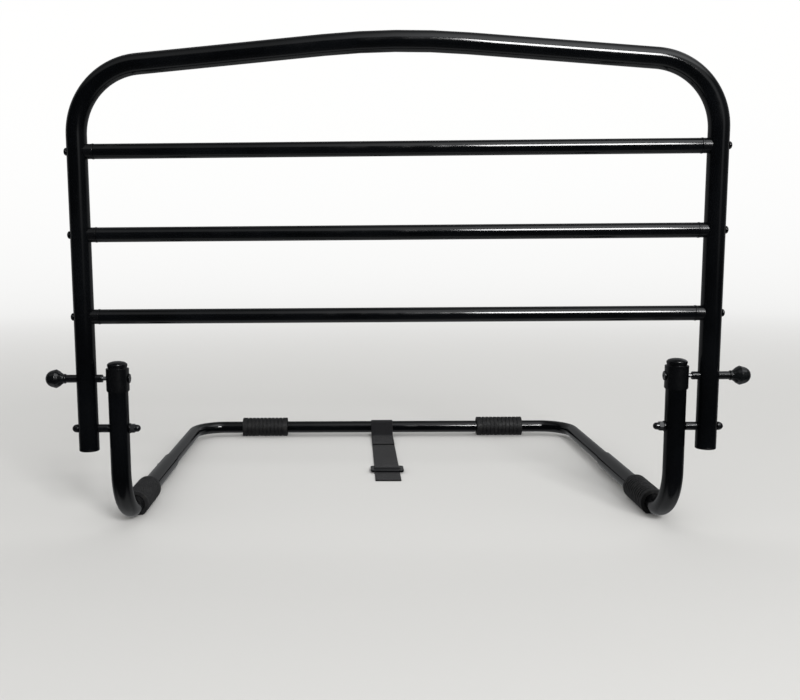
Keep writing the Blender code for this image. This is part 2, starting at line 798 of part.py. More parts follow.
def plate_mesh(name, loops, thickness):
    """Flat plate from an outline and its holes, centred on the XY plane."""
    curve = bpy.data.curves.new(name, "CURVE")
    curve.dimensions = "2D"
    curve.fill_mode = "BOTH"
    curve.extrude = thickness / 2
    for loop in loops:
        spline = curve.splines.new("POLY")
        spline.points.add(len(loop) - 1)
        for point, place in zip(spline.points, loop):
            point.co = (*place, 0, 1)
        spline.use_cyclic_u = True
    guide = bpy.data.objects.new(name + "_outline", curve)
    bpy.context.scene.collection.objects.link(guide)
    bpy.context.view_layer.update()
    mesh = bpy.data.meshes.new_from_object(guide.evaluated_get(bpy.context.evaluated_depsgraph_get()))
    mesh.name = name
    bpy.data.objects.remove(guide)
    bpy.data.curves.remove(curve)
    shape = bmesh.new()
    shape.from_mesh(mesh)
    bmesh.ops.remove_doubles(shape, verts=shape.verts, dist=0.000001)
    bmesh.ops.recalc_face_normals(shape, faces=shape.faces)
    shape.to_mesh(mesh)
    shape.free()
    smooth(mesh)
    return mesh


def build_pads(builder):
    """Anti-slip rubber sleeves with flat undersides."""
    front = pad_mesh("front_pad", LEG_R + GAP)
    rear = pad_mesh("rear_pad", BASE_TUBE_R + GAP)
    for side_name, side in SIDES.items():
        pad = add_object("front_pad_" + side_name, front, builder.rubber, builder.parts)
        pad.rotation_euler = (math.pi / 2, 0, 0)
        attach(pad, None, (side * LEG_X, RAIL_Y + FRONT_PAD_Y, BASE_Z))
        pad = add_object("rear_pad_" + side_name, rear, builder.rubber, builder.parts)
        pad.rotation_euler = (math.pi / 2, 0, math.pi / 2)
        attach(pad, None, (side * REAR_PAD_X, CROSS_Y, BASE_Z))


def strap_path():
    """Centre line of the strap, from its free end to its sewn end, about the cross tube."""
    half = STRAP_THICKNESS / 2
    floor = -BASE_Z + GAP + half
    loop_r = BASE_TUBE_R + GAP + half
    ply = floor + STRAP_THICKNESS + GAP
    over_bar = floor + half + GAP + ADJUSTER_THICKNESS + GAP + half
    run_in = -0.030
    rise = math.radians(4)
    leave = math.radians(140)
    corners = [
        (0, -STRAP_LENGTH, floor),
        (0, ADJUSTER_Y - 0.0075, floor),
        (0, ADJUSTER_Y - 0.0045, over_bar),
        (0, ADJUSTER_Y + 0.0045, over_bar),
        (0, ADJUSTER_Y + 0.0075, floor),
        (0, run_in, floor),
    ]
    path = rounded_path(corners, [0.0012] * 4)
    steps = 18
    for step in range(steps + 1):
        angle = -math.pi / 2 + rise + (leave + math.pi / 2 - rise) * step / steps
        path.append(Vector((0, loop_r * math.cos(angle), loop_r * math.sin(angle))))
    top = path[-1]
    slope = Vector((0, -math.sin(leave), math.cos(leave)))
    landing = top + slope * (top.z - ply) / -slope.z
    path += rounded_path([top, landing, Vector((0, -0.095, ply))], [0.010])[1:]
    return path


def build_strap(builder):
    """Webbing looped round the cross tube, with a slider near its free end."""
    mesh = strip_mesh("retention_strap", strap_path(), Vector((1, 0, 0)), STRAP_WIDTH)
    strap = add_object("retention_strap", mesh, builder.webbing, builder.parts)
    solidify = strap.modifiers.new("thickness", "SOLIDIFY")
    solidify.thickness = STRAP_THICKNESS
    solidify.offset = 0
    solidify.use_even_offset = True
    attach(strap, None, (0, CROSS_Y, BASE_Z))


def build_adjuster(builder):
    """Flat slider with two slots that the strap is threaded through."""
    low = GAP + STRAP_THICKNESS + GAP
    slot_shift = 0.006
    outline = rounded_rectangle(STRAP_WIDTH + 0.012, 0.030, 0.004, 0, 4)
    near_slot = rounded_rectangle(STRAP_WIDTH + 0.002, 0.006, 0.001, -slot_shift, 2)
    far_slot = rounded_rectangle(STRAP_WIDTH + 0.002, 0.006, 0.001, slot_shift, 2)
    mesh = plate_mesh("strap_adjuster", [outline, near_slot, far_slot], ADJUSTER_THICKNESS)
    adjuster = add_object("strap_adjuster", mesh, builder.plastic, builder.parts)
    attach(adjuster, None, (0, CROSS_Y + ADJUSTER_Y, low + ADJUSTER_THICKNESS / 2))


def rounded_rectangle(width, depth, radius, shift, steps):
    """Outline of a rectangle with round corners, shifted along its depth, counter-clockwise."""
    points = []
    for corner in range(4):
        centre_x = (width / 2 - radius) * (1 if corner in (0, 3) else -1)
        centre_y = shift + (depth / 2 - radius) * (1 if corner in (0, 1) else -1)
        points += arc_points((centre_x, centre_y), radius, 90 * corner, 90 * corner + 90, steps)
    return points


def main():
    clear_scene()
    builder = Builder()
    build_rail_frame(builder)
    build_end_plugs(builder)
    build_rungs(builder)
    build_saddles(builder)
    build_rung_screws(builder)
    build_barrels(builder)
    build_lock_pins(builder)
    build_plunger_springs(builder)
    build_knobs(builder)
    build_pivots(builder)
    build_legs(builder)
    build_leg_caps(builder)
    build_collars(builder)
    build_base_tube(builder)
    build_snap_buttons(builder)
    build_pads(builder)
    build_strap(builder)
    build_adjuster(builder)


main()
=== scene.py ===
"""Looks of the folding bed assist rail: fine meshes, finishes and a plain studio.

Metres, +Z up, -Y faces the room.  Each piece stands for one CAD node, takes its place
from that node's box and rides on that node's body.  The small round pieces sit on axes
that run across the rail, and "along" is a distance outboard of an upright's axis.
"""
import json
import math

import bmesh
import bpy
import numpy as np
from mathutils import Matrix, Vector


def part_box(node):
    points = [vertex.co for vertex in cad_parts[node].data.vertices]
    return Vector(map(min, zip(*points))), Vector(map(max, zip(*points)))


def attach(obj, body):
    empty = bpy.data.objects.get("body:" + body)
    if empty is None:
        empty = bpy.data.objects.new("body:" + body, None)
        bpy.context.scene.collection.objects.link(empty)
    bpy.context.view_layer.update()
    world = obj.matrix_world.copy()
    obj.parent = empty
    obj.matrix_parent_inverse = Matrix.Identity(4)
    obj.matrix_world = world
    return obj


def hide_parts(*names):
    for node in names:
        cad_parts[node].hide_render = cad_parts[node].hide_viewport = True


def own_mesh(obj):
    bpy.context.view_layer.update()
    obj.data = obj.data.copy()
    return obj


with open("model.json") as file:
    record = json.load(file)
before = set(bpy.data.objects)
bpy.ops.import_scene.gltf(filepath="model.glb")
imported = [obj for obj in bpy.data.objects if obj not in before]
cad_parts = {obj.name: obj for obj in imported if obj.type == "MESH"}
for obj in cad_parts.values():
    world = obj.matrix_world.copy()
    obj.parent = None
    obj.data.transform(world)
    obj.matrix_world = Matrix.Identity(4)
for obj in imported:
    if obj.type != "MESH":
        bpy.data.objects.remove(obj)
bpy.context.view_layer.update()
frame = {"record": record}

# --------------- dimensions the boxes don't give
GAP = 0.0003                    # clearance between separate pieces
TUBE_WALL = 0.0015
PLUG_WALL = 0.0015
RUNG_WALL = 0.0012
CROWN_ANGLE = math.radians(4.9)
CROWN_BEND_R = 0.958
CORNER_BEND_R = 0.080
LEG_BEND_R = 0.060
BASE_BEND_R = 0.050
SCREW_SHANK_R = 0.002
SOCKET_FLATS = 0.0025           # hexagonal sockets in the screws' heads
PIVOT_BOLT_R = 0.003
LOCK_PIN_R = 0.0025
ROD_R = 0.0015
CHAMBER_R = 0.004
GUIDE_LENGTH = 0.003
BUTTON_R = 0.004
STRAP_WIDTH = 0.038
STRAP_THICKNESS = 0.0016
ADJUSTER_THICKNESS = 0.003

# --------------- smoothness
TUBE_SIDES = 64
TURNED_STEPS = 72
HOLE_SIDES = 40
BEND_STEP = math.radians(2.5)
FILLET_STEP = math.radians(18)
SHARP_ANGLE = math.radians(32)
EDGE_EASE = 0.00025             # broken edge at the end of a tube
ON_AXIS = 1e-6                  # a ring narrower than this is a point
WIRE_SIDES = 16
CRISP = 0.0001                  # fillets, from barely broken edges to soft ones
FINE = 0.0002
EASED = 0.0003
SOFT = 0.0005
WELDED = 1e-7                   # vertices closer than this are one

GLOW_START = 0.5                # distances over which the floor turns into lit backdrop
GLOW_END = 5.2

SIDES = {"left": -1, "right": 1}
LEVELS = ("top", "middle", "bottom")
RIGHT = Vector((1, 0, 0))
BACK = Vector((0, 1, 0))
UP = Vector((0, 0, 1))


# --------------- places, from the CAD boxes
def lowest(node):
    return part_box(node)[0]


def highest(node):
    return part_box(node)[1]


def middle(node):
    return (lowest(node) + highest(node)) / 2


def half_size(node):
    return (highest(node) - lowest(node)) / 2


UPRIGHT_X = middle("rail_end_plug_right").x
RAIL_Y = middle("rail_end_plug_right").y
TUBE_R = half_size("rail_end_plug_right").x
LEG_X = middle("leg_cap_right").x
PIVOT_Z = middle("pivot_spacer_right").z
LOCK_Z = middle("lock_pin_right").z
BASE_Z = middle("base_tube").z
BASE_TUBE_R = half_size("base_tube").z
CROSS_Y = highest("base_tube").y - BASE_TUBE_R
RUNG_R = half_size("rung_top").z
SPIGOT_R = TUBE_R - TUBE_WALL - GAP     # parts of the plugs and caps inside the tubes
SPIGOT_BORE_R = SPIGOT_R - PLUG_WALL


def span(stem):
    """Inboard and outboard ends of a piece, outboard of the upright's axis."""
    return lowest(stem + "_right").x - UPRIGHT_X, highest(stem + "_right").x - UPRIGHT_X


# --------------- pieces
SLOTS = {part["node"]: part["material_slot"] for part in frame["record"]["subparts"]}
BODIES = {
    node: body
    for body, nodes in frame["record"]["behaviour"]["bodies"].items()
    for node in nodes
}
finishes = {}                   # material of each slot, filled in before the pieces are built


def add_object(name, data):
    obj = bpy.data.objects.new(name, data)
    bpy.context.scene.collection.objects.link(obj)
    return obj


def stand_for(node, mesh):
    """Show a mesh in place of a CAD node, on the node's body and in its slot's finish."""
    obj = add_object("fine_" + node, mesh)
    mesh.materials.clear()
    mesh.materials.append(finishes[SLOTS[node]])
    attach(obj, BODIES[node])
    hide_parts(node)
    return obj


def compress(spring):
    """Give a spring a mesh of its own; nothing here shortens it as its joint moves."""
    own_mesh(spring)


def weigh_normals(obj):
    """Keep flats flat beside their rounded edges."""
    modifier = obj.modifiers.new("flats", "WEIGHTED_NORMAL")
    modifier.keep_sharp = True
    modifier.weight = 80


def outboard_at(side, y, z):
    """Turns a mesh's local +Z outboard and puts its origin on an upright's axis."""
    turn = Matrix.Rotation(side * math.pi / 2, 4, "Y")
    return Matrix.Translation((side * UPRIGHT_X, y, z)) @ turn


# --------------- mesh shapes
def mesh_from(shape, name):
    """Finish a bmesh: consistent normals, and smooth faces between sharp edges."""
    bmesh.ops.recalc_face_normals(shape, faces=shape.faces)
    mesh = bpy.data.meshes.new(name)
    shape.to_mesh(mesh)
    shape.free()
    mesh.shade_smooth()
    mesh.set_sharp_from_angle(angle=SHARP_ANGLE)
    return mesh


def bridge(shape, ring, following):
    """Faces between two closed rings; a ring of one vertex is a point on the axis."""
    count = max(len(ring), len(following))
    if count == 1:
        return
    for index in range(count):
        after = (index + 1) % count
        if len(ring) == 1:
            shape.faces.new((ring[0], following[after], following[index]))
        elif len(following) == 1:
            shape.faces.new((ring[index], ring[after], following[0]))
        else:
            shape.faces.new((ring[index], ring[after], following[after], following[index]))


def corner_arc(corner, before, after, radius, step_angle):
    """Points of an arc that rounds a corner, never using more than half of either side."""
    back = before - corner
    ahead = after - corner
    opening = back.angle(ahead)
    turn = math.pi - opening
    if turn < 0.001:
        return [corner]
    tangent = min(radius / math.tan(opening / 2), 0.499 * back.length, 0.499 * ahead.length)
    true_radius = tangent * math.tan(opening / 2)
    bisector = (back.normalized() + ahead.normalized()).normalized()
    centre = corner + bisector * true_radius / math.sin(opening / 2)
    first = corner + back.normalized() * tangent - centre
    last = corner + ahead.normalized() * tangent - centre
    steps = max(2, math.ceil(turn / step_angle))
    points = []
    for step in range(steps + 1):
        share = step / steps
        weight_first = math.sin((1 - share) * turn) / math.sin(turn)
        weight_last = math.sin(share * turn) / math.sin(turn)
        points.append(centre + first * weight_first + last * weight_last)
    return points


def bent_path(corners, radii):
    """Polyline through corners, with an arc of its own radius at each inner corner."""
    corners = [Vector(corner) for corner in corners]
    path = [corners[0]]
    for before, corner, after, radius in zip(corners, corners[1:], corners[2:], radii):
        path += corner_arc(corner, before, after, radius, BEND_STEP)
    path.append(corners[-1])
    return path


def eased_outline(corners, closed=False):
    """(radius, along) points of an outline; each corner is (radius, along, fillet)."""
    flat = [Vector((radius, along)) for radius, along, fillet in corners]
    points = []
    for index, (radius, along, fillet) in enumerate(corners):
        at_end = not closed and index in (0, len(corners) - 1)
        if fillet == 0 or at_end:
            points.append(flat[index])
        else:
            following = flat[(index + 1) % len(flat)]
            points += corner_arc(flat[index], flat[index - 1], following, fillet, FILLET_STEP)
    return points


def arc(centre, radius, start, end, steps):
    """Points of an arc between two angles in degrees."""
    points = []
    for step in range(steps + 1):
        angle = math.radians(start + (end - start) * step / steps)
        points.append(Vector((centre[0] + radius * math.cos(angle), centre[1] + radius * math.sin(angle))))
    return points


def around(steps):
    """Cosines and sines of equal steps round a circle."""
    turns = [2 * math.pi * step / steps for step in range(steps)]
    return [(math.cos(turn), math.sin(turn)) for turn in turns]


def lofted(rings, closed=False, capped=False, shape=None):
    """Bmesh of faces between rings of points; a closed one leads back to its first ring."""
    shape = bmesh.new() if shape is None else shape
    rings = [[shape.verts.new(point) for point in ring] for ring in rings]
    for ring, following in zip(rings, rings[1:]):
        bridge(shape, ring, following)
    if closed:
        bridge(shape, rings[-1], rings[0])
    if capped:
        shape.faces.new(rings[0])
        shape.faces.new(rings[-1])
    return shape


def turned_shape(outline, closed=False, steps=TURNED_STEPS):
    """Bmesh of an outline of (radius, along) points turned about local Z."""
    rings = []
    for radius, along in outline:
        circle = around(steps) if radius > ON_AXIS else [(0, 0)]
        rings.append([(radius * cosine, radius * sine, along) for cosine, sine in circle])
    return lofted(rings, closed)


def on_both_sides(stem, make_mesh, placing):
    """Left and right pieces of the same mesh; `placing` gives the place on a side."""
    for side_name, side in SIDES.items():
        mesh = make_mesh()
        mesh.transform(placing(side))
        weigh_normals(stand_for(f"{stem}_{side_name}", mesh))


def turned_pieces(stem, corners, placing, closed=False, cutter=None, operation="DIFFERENCE"):
    """Left and right turned pieces from outline corners, shaped by a cutter if there is one."""
    outline = eased_outline(corners, closed)

    def make_mesh():
        mesh = mesh_from(turned_shape(outline, closed), stem)
        return combined(mesh, cutter(), operation) if cutter else mesh

    on_both_sides(stem, make_mesh, placing)


def across_at(z):
    """Placing for a piece on an axis that runs across the rail through its uprights."""
    return lambda side: outboard_at(side, RAIL_Y, z)


def standing_at(x):
    """Placing for an upright piece on the axis of an upright or a leg."""
    return lambda side: Matrix.Translation((side * x, RAIL_Y, 0))


def dome(radius, base, height, first, last, steps):
    """Outline corners of a dome on a base along the axis, between two angles in degrees."""
    turns = np.radians(np.linspace(first, last, steps))
    return [(radius * math.cos(turn), base + height * math.sin(turn), 0) for turn in turns]


def applied(obj):
    """Mesh of an object with its modifiers or its curve's thickness worked in."""
    bpy.context.view_layer.update()
    mesh = bpy.data.meshes.new_from_object(obj.evaluated_get(bpy.context.evaluated_depsgraph_get()))
    bpy.data.objects.remove(obj)
    return mesh


def joined_up(mesh, distance):
    """Bmesh of a mesh whose vertices closer than a distance are made one."""
    shape = bmesh.new()
    shape.from_mesh(mesh)
    bmesh.ops.remove_doubles(shape, verts=shape.verts, dist=distance)
    return shape


def combined(mesh, tool, operation):
    """Mesh after an exact boolean with a tool mesh, both in the same place."""
    obj = add_object("work", mesh)
    helper = add_object("tool", tool)
    boolean = obj.modifiers.new("shape", "BOOLEAN")
    boolean.operation = operation
    boolean.object = helper
    boolean.solver = "EXACT"
    shape = joined_up(applied(obj), WELDED)
    bpy.data.objects.remove(helper)
    bmesh.ops.dissolve_degenerate(shape, edges=shape.edges, dist=WELDED)
    return mesh_from(shape, mesh.name)


def prism(shape, sides, radius, length, place):
    """Add a closed prism about the local Z of a place."""
    bmesh.ops.create_cone(
        shape,
        cap_ends=True,
        segments=sides,
        radius1=radius,
        radius2=radius,
        depth=length,
        matrix=place,
    )


def bars(holes):
    """Mesh of round bars; each hole is (centre, radius, length) and runs along X."""
    shape = bmesh.new()
    turn = Matrix.Rotation(math.pi / 2, 4, "Y")
    for centre, radius, length in holes:
        prism(shape, HOLE_SIDES, radius, length, Matrix.Translation(centre) @ turn)
    return mesh_from(shape, "holes")


def hexagon(across_flats, low, high):
    """Mesh of a hexagonal prism about local Z."""
    shape = bmesh.new()
    place = Matrix.Translation((0, 0, (low + high) / 2))
    prism(shape, 6, across_flats / 2 / math.cos(math.pi / 6), high - low, place)
    return mesh_from(shape, "hexagon")


def heading(path, index):
    """Direction in which a path runs at one of its points."""
    return (path[min(index + 1, len(path) - 1)] - path[max(index - 1, 0)]).normalized()


def rings_along(path, across, radii, sides):
    """Rings of points round a path; `across` is at right angles to it at each point."""
    rings = []
    for index, (point, first, radius) in enumerate(zip(path, across, radii)):
        second = heading(path, index).cross(first).normalized()
        circle = around(sides)
        rings.append([point + (first * cosine + second * sine) * radius for cosine, sine in circle])
    return rings


def tube_mesh(name, path, across, radius, wall):
    """Hollow tube with eased rims."""
    start = path[0] + heading(path, 0) * EDGE_EASE
    end = path[-1] - heading(path, len(path) - 1) * EDGE_EASE
    path = [path[0], start, *path[1:-1], end, path[-1]]
    rim = [radius - EDGE_EASE]
    outer = rim + [radius] * (len(path) - 2) + rim
    inner = [radius - wall] * len(path)
    skin, bore = (rings_along(path, [across] * len(path), radii, TUBE_SIDES) for radii in (outer, inner))
    return mesh_from(lofted(skin + bore[::-1], closed=True), name)


def shade_straights_round(mesh, path):
    """Give the straight lengths of a tube true round normals, however holes cut its faces."""
    straight = 0.010
    facing = math.cos(math.radians(35))
    starts = np.array(path[:-1])
    steps = np.array(path[1:]) - starts
    lengths = np.linalg.norm(steps, axis=1)
    steps = steps / lengths[:, None]
    places = np.array([vertex.co for vertex in mesh.vertices])
    offsets = places[:, None, :] - starts[None]
    reach = np.clip((offsets * steps[None]).sum(2), 0, lengths[None])
    radial = offsets - reach[:, :, None] * steps[None]
    nearest = np.linalg.norm(radial, axis=2).argmin(1)
    radial = radial[np.arange(len(places)), nearest]
    radial = radial / np.linalg.norm(radial, axis=1)[:, None]
    on_straight = lengths[nearest] > straight
    normals = np.array([corner.vector for corner in mesh.corner_normals])
    for face in mesh.polygons:
        for loop in face.loop_indices:
            vertex = mesh.loops[loop].vertex_index
            outward = float(np.dot(radial[vertex], face.normal))
            if on_straight[vertex] and abs(outward) > facing:
                normals[loop] = radial[vertex] * math.copysign(1, outward)
    mesh.normals_split_custom_set(normals.tolist())


def drilled_tube(node, path, across, radius, wall, holes):
    """A tube piece with round holes across it."""
    mesh = tube_mesh(node, path, across, radius, wall)
    if holes:
        mesh = combined(mesh, bars(holes), "DIFFERENCE")
        shade_straights_round(mesh, path)
    return stand_for(node, mesh)


# --------------- finishes
class Nodes:
    """A node tree, with short calls for adding and joining nodes."""

    def __init__(self, tree):
        self.tree = tree

    def add(self, kind, inputs=None, **settings):
        node = self.tree.nodes.new(kind)
        for name, value in settings.items():
            setattr(node, name, value)
        for key, value in (inputs or {}).items():
            self.join(node.inputs[key], value)
        return node

    def join(self, socket, value):
        if isinstance(value, bpy.types.NodeSocket):
            self.tree.links.new(value, socket)
        else:
            socket.default_value = value

    def mapped(self, value, low, high, to_low=0.0, to_high=1.0):
        """Value that eases from one limit to the other while the given one crosses its own."""
        inputs = {"Value": value, "From Min": low, "From Max": high, "To Min": to_low, "To Max": to_high}
        return self.add("ShaderNodeMapRange", inputs, interpolation_type="SMOOTHSTEP").outputs["Result"]

    def math(self, operation, first, second=0.0):
        return self.add("ShaderNodeMath", {0: first, 1: second}, operation=operation).outputs["Value"]

    def product(self, first, *others):
        for other in others:
            first = self.math("MULTIPLY", first, other)
        return first

    def mixed(self, factor, first, second):
        """Mixed colour; the colour sockets of a mix node go by their places."""
        node = self.add("ShaderNodeMix", {"Factor": factor, 6: first, 7: second}, data_type="RGBA")
        return node.outputs[2]


class World(Nodes):
    """A world's node tree, with the axes of the direction looked in."""

    def __init__(self, name):
        world = bpy.data.worlds.new(name)
        world.use_nodes = True
        bpy.context.scene.world = world
        super().__init__(world.node_tree)
        self.background = self.tree.nodes["Background"]
        direction = self.add("ShaderNodeTexCoord").outputs["Generated"]
        self.axes = self.add("ShaderNodeSeparateXYZ", {0: direction}).outputs


class Finish(Nodes):
    """A material's node tree."""

    def __init__(self, name, colour, roughness, metallic=0.0, coat=0.0):
        self.material = bpy.data.materials.new(name)
        self.material.use_nodes = True
        super().__init__(self.material.node_tree)
        self.shader = self.tree.nodes["Principled BSDF"]
        self.place = self.add("ShaderNodeTexCoord").outputs["Object"]
        self.normal = None
        self.give("Base Color", (*colour, 1))
        self.give("Roughness", roughness)
        self.give("Metallic", metallic)
        self.give("Coat Weight", coat)
        self.give("Coat Roughness", 0.06)
        self.material.diffuse_color = (*colour, 1)

    def give(self, name, value):
        self.join(self.shader.inputs[name], value)

    def tint(self, factor, first, second):
        """Base colour that goes from one tint to another with a factor."""
        self.give("Base Color", self.mixed(factor, (*first, 1), (*second, 1)))

    def roughen(self, noise, low, high):
        """Roughness that wanders between two values with a noise."""
        self.give("Roughness", self.mapped(noise, 0.3, 0.7, low, high))

    def noise(self, scale, detail=2.0, stretch=(1, 1, 1)):
        """Noise value with `scale` features in a metre."""
        mapped = self.add("ShaderNodeMapping", {"Vector": self.place, "Scale": stretch})
        inputs = {"Vector": mapped.outputs["Vector"], "Scale": scale, "Detail": detail}
        return self.add("ShaderNodeTexNoise", inputs).outputs["Fac"]

    def bump(self, height, depth):
        """Add relief of a depth in metres on top of the relief added before."""
        inputs = {"Height": height, "Distance": depth, "Strength": 1.0}
        if self.normal is not None:
            inputs["Normal"] = self.normal
        self.normal = self.add("ShaderNodeBump", inputs).outputs["Normal"]
        self.give("Normal", self.normal)

    def worn_edges(self, width):
        """Mask that is 1 on outer edges narrower than a width."""
        bevel = self.add("ShaderNodeBevel", {"Radius": width}, samples=4)
        geometry = self.add("ShaderNodeNewGeometry")
        inputs = {0: bevel.outputs["Normal"], 1: geometry.outputs["Normal"]}
        agreement = self.add("ShaderNodeVectorMath", inputs, operation="DOT_PRODUCT").outputs["Value"]
        rubbed = self.mapped(self.noise(260, 4), 0.42, 0.62)
        return self.product(self.mapped(agreement, 0.97, 0.86), rubbed)


def powder_coat():
    """Glossy black powder coat: faint orange peel, and hand smudges in the gloss."""
    finish = Finish("powder_coat_black", (0.0012, 0.0014, 0.0018), 0.12)
    smudges = finish.noise(34, 5)
    tint = finish.mapped(finish.noise(11, 3), 0.35, 0.65)
    finish.tint(tint, (0.0008, 0.0010, 0.0013), (0.0018, 0.0021, 0.0026))
    finish.give("Roughness", finish.mapped(smudges, 0.35, 0.70, 0.09, 0.16))
    finish.bump(finish.noise(620, 2), 0.0000015)
    finish.bump(finish.noise(90, 1), 0.000006)
    return finish.material


def moulded_plastic():
    """Semi-gloss black nylon: fine mould texture, polished on its edges."""
    finish = Finish("moulded_plastic_black", (0.0018, 0.0020, 0.0024), 0.20)
    edges = finish.worn_edges(0.0005)
    base = finish.mapped(finish.noise(120, 4), 0.3, 0.7, 0.17, 0.25)
    finish.give("Roughness", finish.math("SUBTRACT", base, finish.product(edges, 0.06)))
    finish.tint(edges, (0.0018, 0.0020, 0.0024), (0.006, 0.0063, 0.0068))
    finish.bump(finish.noise(2400, 2), 0.000003)
    finish.bump(finish.noise(160, 2), 0.000009)
    return finish.material


def knob_plastic():
    """Glossy black phenolic with fine swirl marks from handling."""
    finish = Finish("knob_phenolic_black", (0.0022, 0.0028, 0.0032), 0.16, coat=0.3)
    swirls = finish.noise(420, 5, (1, 2.5, 2.5))
    finish.give("Roughness", finish.mapped(swirls, 0.35, 0.68, 0.12, 0.24))
    tint = finish.mapped(finish.noise(70, 3), 0.35, 0.7)
    finish.tint(tint, (0.0018, 0.0023, 0.0026), (0.0038, 0.0044, 0.0048))
    finish.bump(finish.noise(520, 3), 0.000008)
    return finish.material


def black_hardware():
    """Black-plated steel: turning marks, with bright metal starting to show on the edges."""
    finish = Finish("black_plated_steel", (0.005, 0.005, 0.006), 0.14, metallic=0.2, coat=0.5)
    edges = finish.worn_edges(0.0004)
    finish.tint(edges, (0.0030, 0.0033, 0.0040), (0.022, 0.022, 0.024))
    finish.roughen(finish.noise(300, 4), 0.10, 0.20)
    finish.bump(finish.noise(5200, 1, (1, 0.04, 0.04)), 0.000004)
    finish.bump(finish.noise(420, 3), 0.000010)
    return finish.material


def bare_steel():
    """Darkened zinc-plated steel with turning marks and a slight dull bloom."""
    finish = Finish("zinc_plated_steel", (0.26, 0.26, 0.27), 0.30, metallic=1.0)
    bloom = finish.mapped(finish.noise(180, 5), 0.35, 0.70)
    finish.tint(bloom, (0.28, 0.285, 0.30), (0.17, 0.17, 0.17))
    finish.roughen(finish.noise(240, 4), 0.22, 0.42)
    finish.bump(finish.noise(5200, 1, (1, 0.04, 0.04)), 0.000006)
    return finish.material


def rubber():
    """Matte black rubber with a fine grain and a little pale dust."""
    finish = Finish("anti_slip_rubber", (0.007, 0.007, 0.007), 0.60)
    dust = finish.mapped(finish.noise(95, 6), 0.52, 0.80)
    finish.tint(dust, (0.0065, 0.0065, 0.007), (0.016, 0.0155, 0.015))
    finish.roughen(finish.noise(200, 3), 0.48, 0.70)
    finish.give("Specular IOR Level", 0.35)
    finish.bump(finish.noise(1700, 3), 0.000016)
    return finish.material


def webbing():
    """Black woven strap: ribs along it, crossed by the weft, from the mesh's own map in metres, with
    painted shade where the yarns dip.
    """
    finish = Finish("woven_webbing", (0.010, 0.010, 0.011), 0.85)
    rib = 0.0019
    pick = 0.0013
    uv = finish.add("ShaderNodeUVMap", uv_map="weave").outputs["UV"]
    parts = finish.add("ShaderNodeSeparateXYZ", {0: uv})
    across = finish.math("DIVIDE", parts.outputs["X"], rib)
    along = finish.math("DIVIDE", parts.outputs["Y"], pick)
    column = finish.math("FLOOR", across)
    shifted = finish.math("ADD", along, finish.product(column, 0.5))
    rounded_rib = finish.math("SINE", finish.product(finish.math("FRACT", across), math.pi))
    rounded_pick = finish.math("SINE", finish.product(finish.math("FRACT", shifted), math.pi))
    yarn = finish.product(finish.math("POWER", rounded_rib, 0.6), finish.math("POWER", rounded_pick, 0.5))
    fuzz = finish.noise(3000, 3)
    # painted shade: the weave is darkened where the yarns dip between ribs and picks, plus a little random
    # fuzz tone
    painted_weave_shade = finish.mapped(finish.math("ADD", yarn, finish.product(fuzz, 0.3)), 0.1, 1.2)
    finish.tint(painted_weave_shade, (0.0012, 0.0012, 0.0015), (0.0105, 0.0105, 0.012))
    finish.roughen(fuzz, 0.68, 0.92)
    finish.give("Sheen Weight", 0.05)
    finish.give("Specular IOR Level", 0.25)
    finish.bump(yarn, 0.00028)
    finish.bump(fuzz, 0.00005)
    return finish.material


def thread():
    """Black sewing thread, a little shinier than the strap."""
    finish = Finish("sewing_thread", (0.02, 0.02, 0.022), 0.45)
    twist = finish.noise(2600, 2, (1, 0.35, 1))
    finish.roughen(twist, 0.38, 0.6)
    finish.bump(twist, 0.00006)
    return finish.material


# --------------- rail
def build_rail_frame():
    crown = highest("rail_frame").z - TUBE_R
    shoulder = crown + CROWN_BEND_R * (1 / math.cos(CROWN_ANGLE) - 1)
    corner = shoulder - UPRIGHT_X * math.tan(CROWN_ANGLE)
    foot = lowest("rail_frame").z
    corners = [
        (-UPRIGHT_X, RAIL_Y, foot),
        (-UPRIGHT_X, RAIL_Y, corner),
        (0, RAIL_Y, shoulder),
        (UPRIGHT_X, RAIL_Y, corner),
        (UPRIGHT_X, RAIL_Y, foot),
    ]
    path = bent_path(corners, [CORNER_BEND_R, CROWN_BEND_R, CORNER_BEND_R])
    barrel_r = half_size("plunger_barrel_right").z
    through = 4 * TUBE_R
    holes = []
    for side in SIDES.values():
        holes.append(((side * UPRIGHT_X, RAIL_Y, PIVOT_Z), PIVOT_BOLT_R + GAP, through))
        holes.append(((side * UPRIGHT_X, RAIL_Y, LOCK_Z), barrel_r + GAP, through))
        for level in LEVELS:
            centre = (side * UPRIGHT_X, RAIL_Y, middle("rung_" + level).z)
            holes.append((centre, SCREW_SHANK_R + GAP, through))
    drilled_tube("rail_frame", path, BACK, TUBE_R, TUBE_WALL, holes)


def build_end_plugs():
    """Plugs with a rounded foot that close the lower ends of the rail tube."""
    bottom, top = lowest("rail_end_plug_right").z, highest("rail_end_plug_right").z
    seat = lowest("rail_frame").z - GAP
    foot_ease = 0.0016
    corners = [
        (0, bottom, 0),
        (TUBE_R, bottom + FINE, foot_ease),
        (TUBE_R, seat, EASED),
        (SPIGOT_R, seat, FINE),
        (SPIGOT_R, top, 0.0004),
        (SPIGOT_BORE_R, top, FINE),
        (SPIGOT_BORE_R, seat + GAP, FINE),
        (0, seat + GAP, 0),
    ]
    turned_pieces("rail_end_plug", corners, standing_at(UPRIGHT_X))


def build_rungs():
    for level in LEVELS:
        node = "rung_" + level
        left, right, z = lowest(node).x, highest(node).x, middle(node).z
        path = [Vector((left, RAIL_Y, z)), Vector((right, RAIL_Y, z))]
        drilled_tube(node, path, BACK, RUNG_R, RUNG_WALL, [])


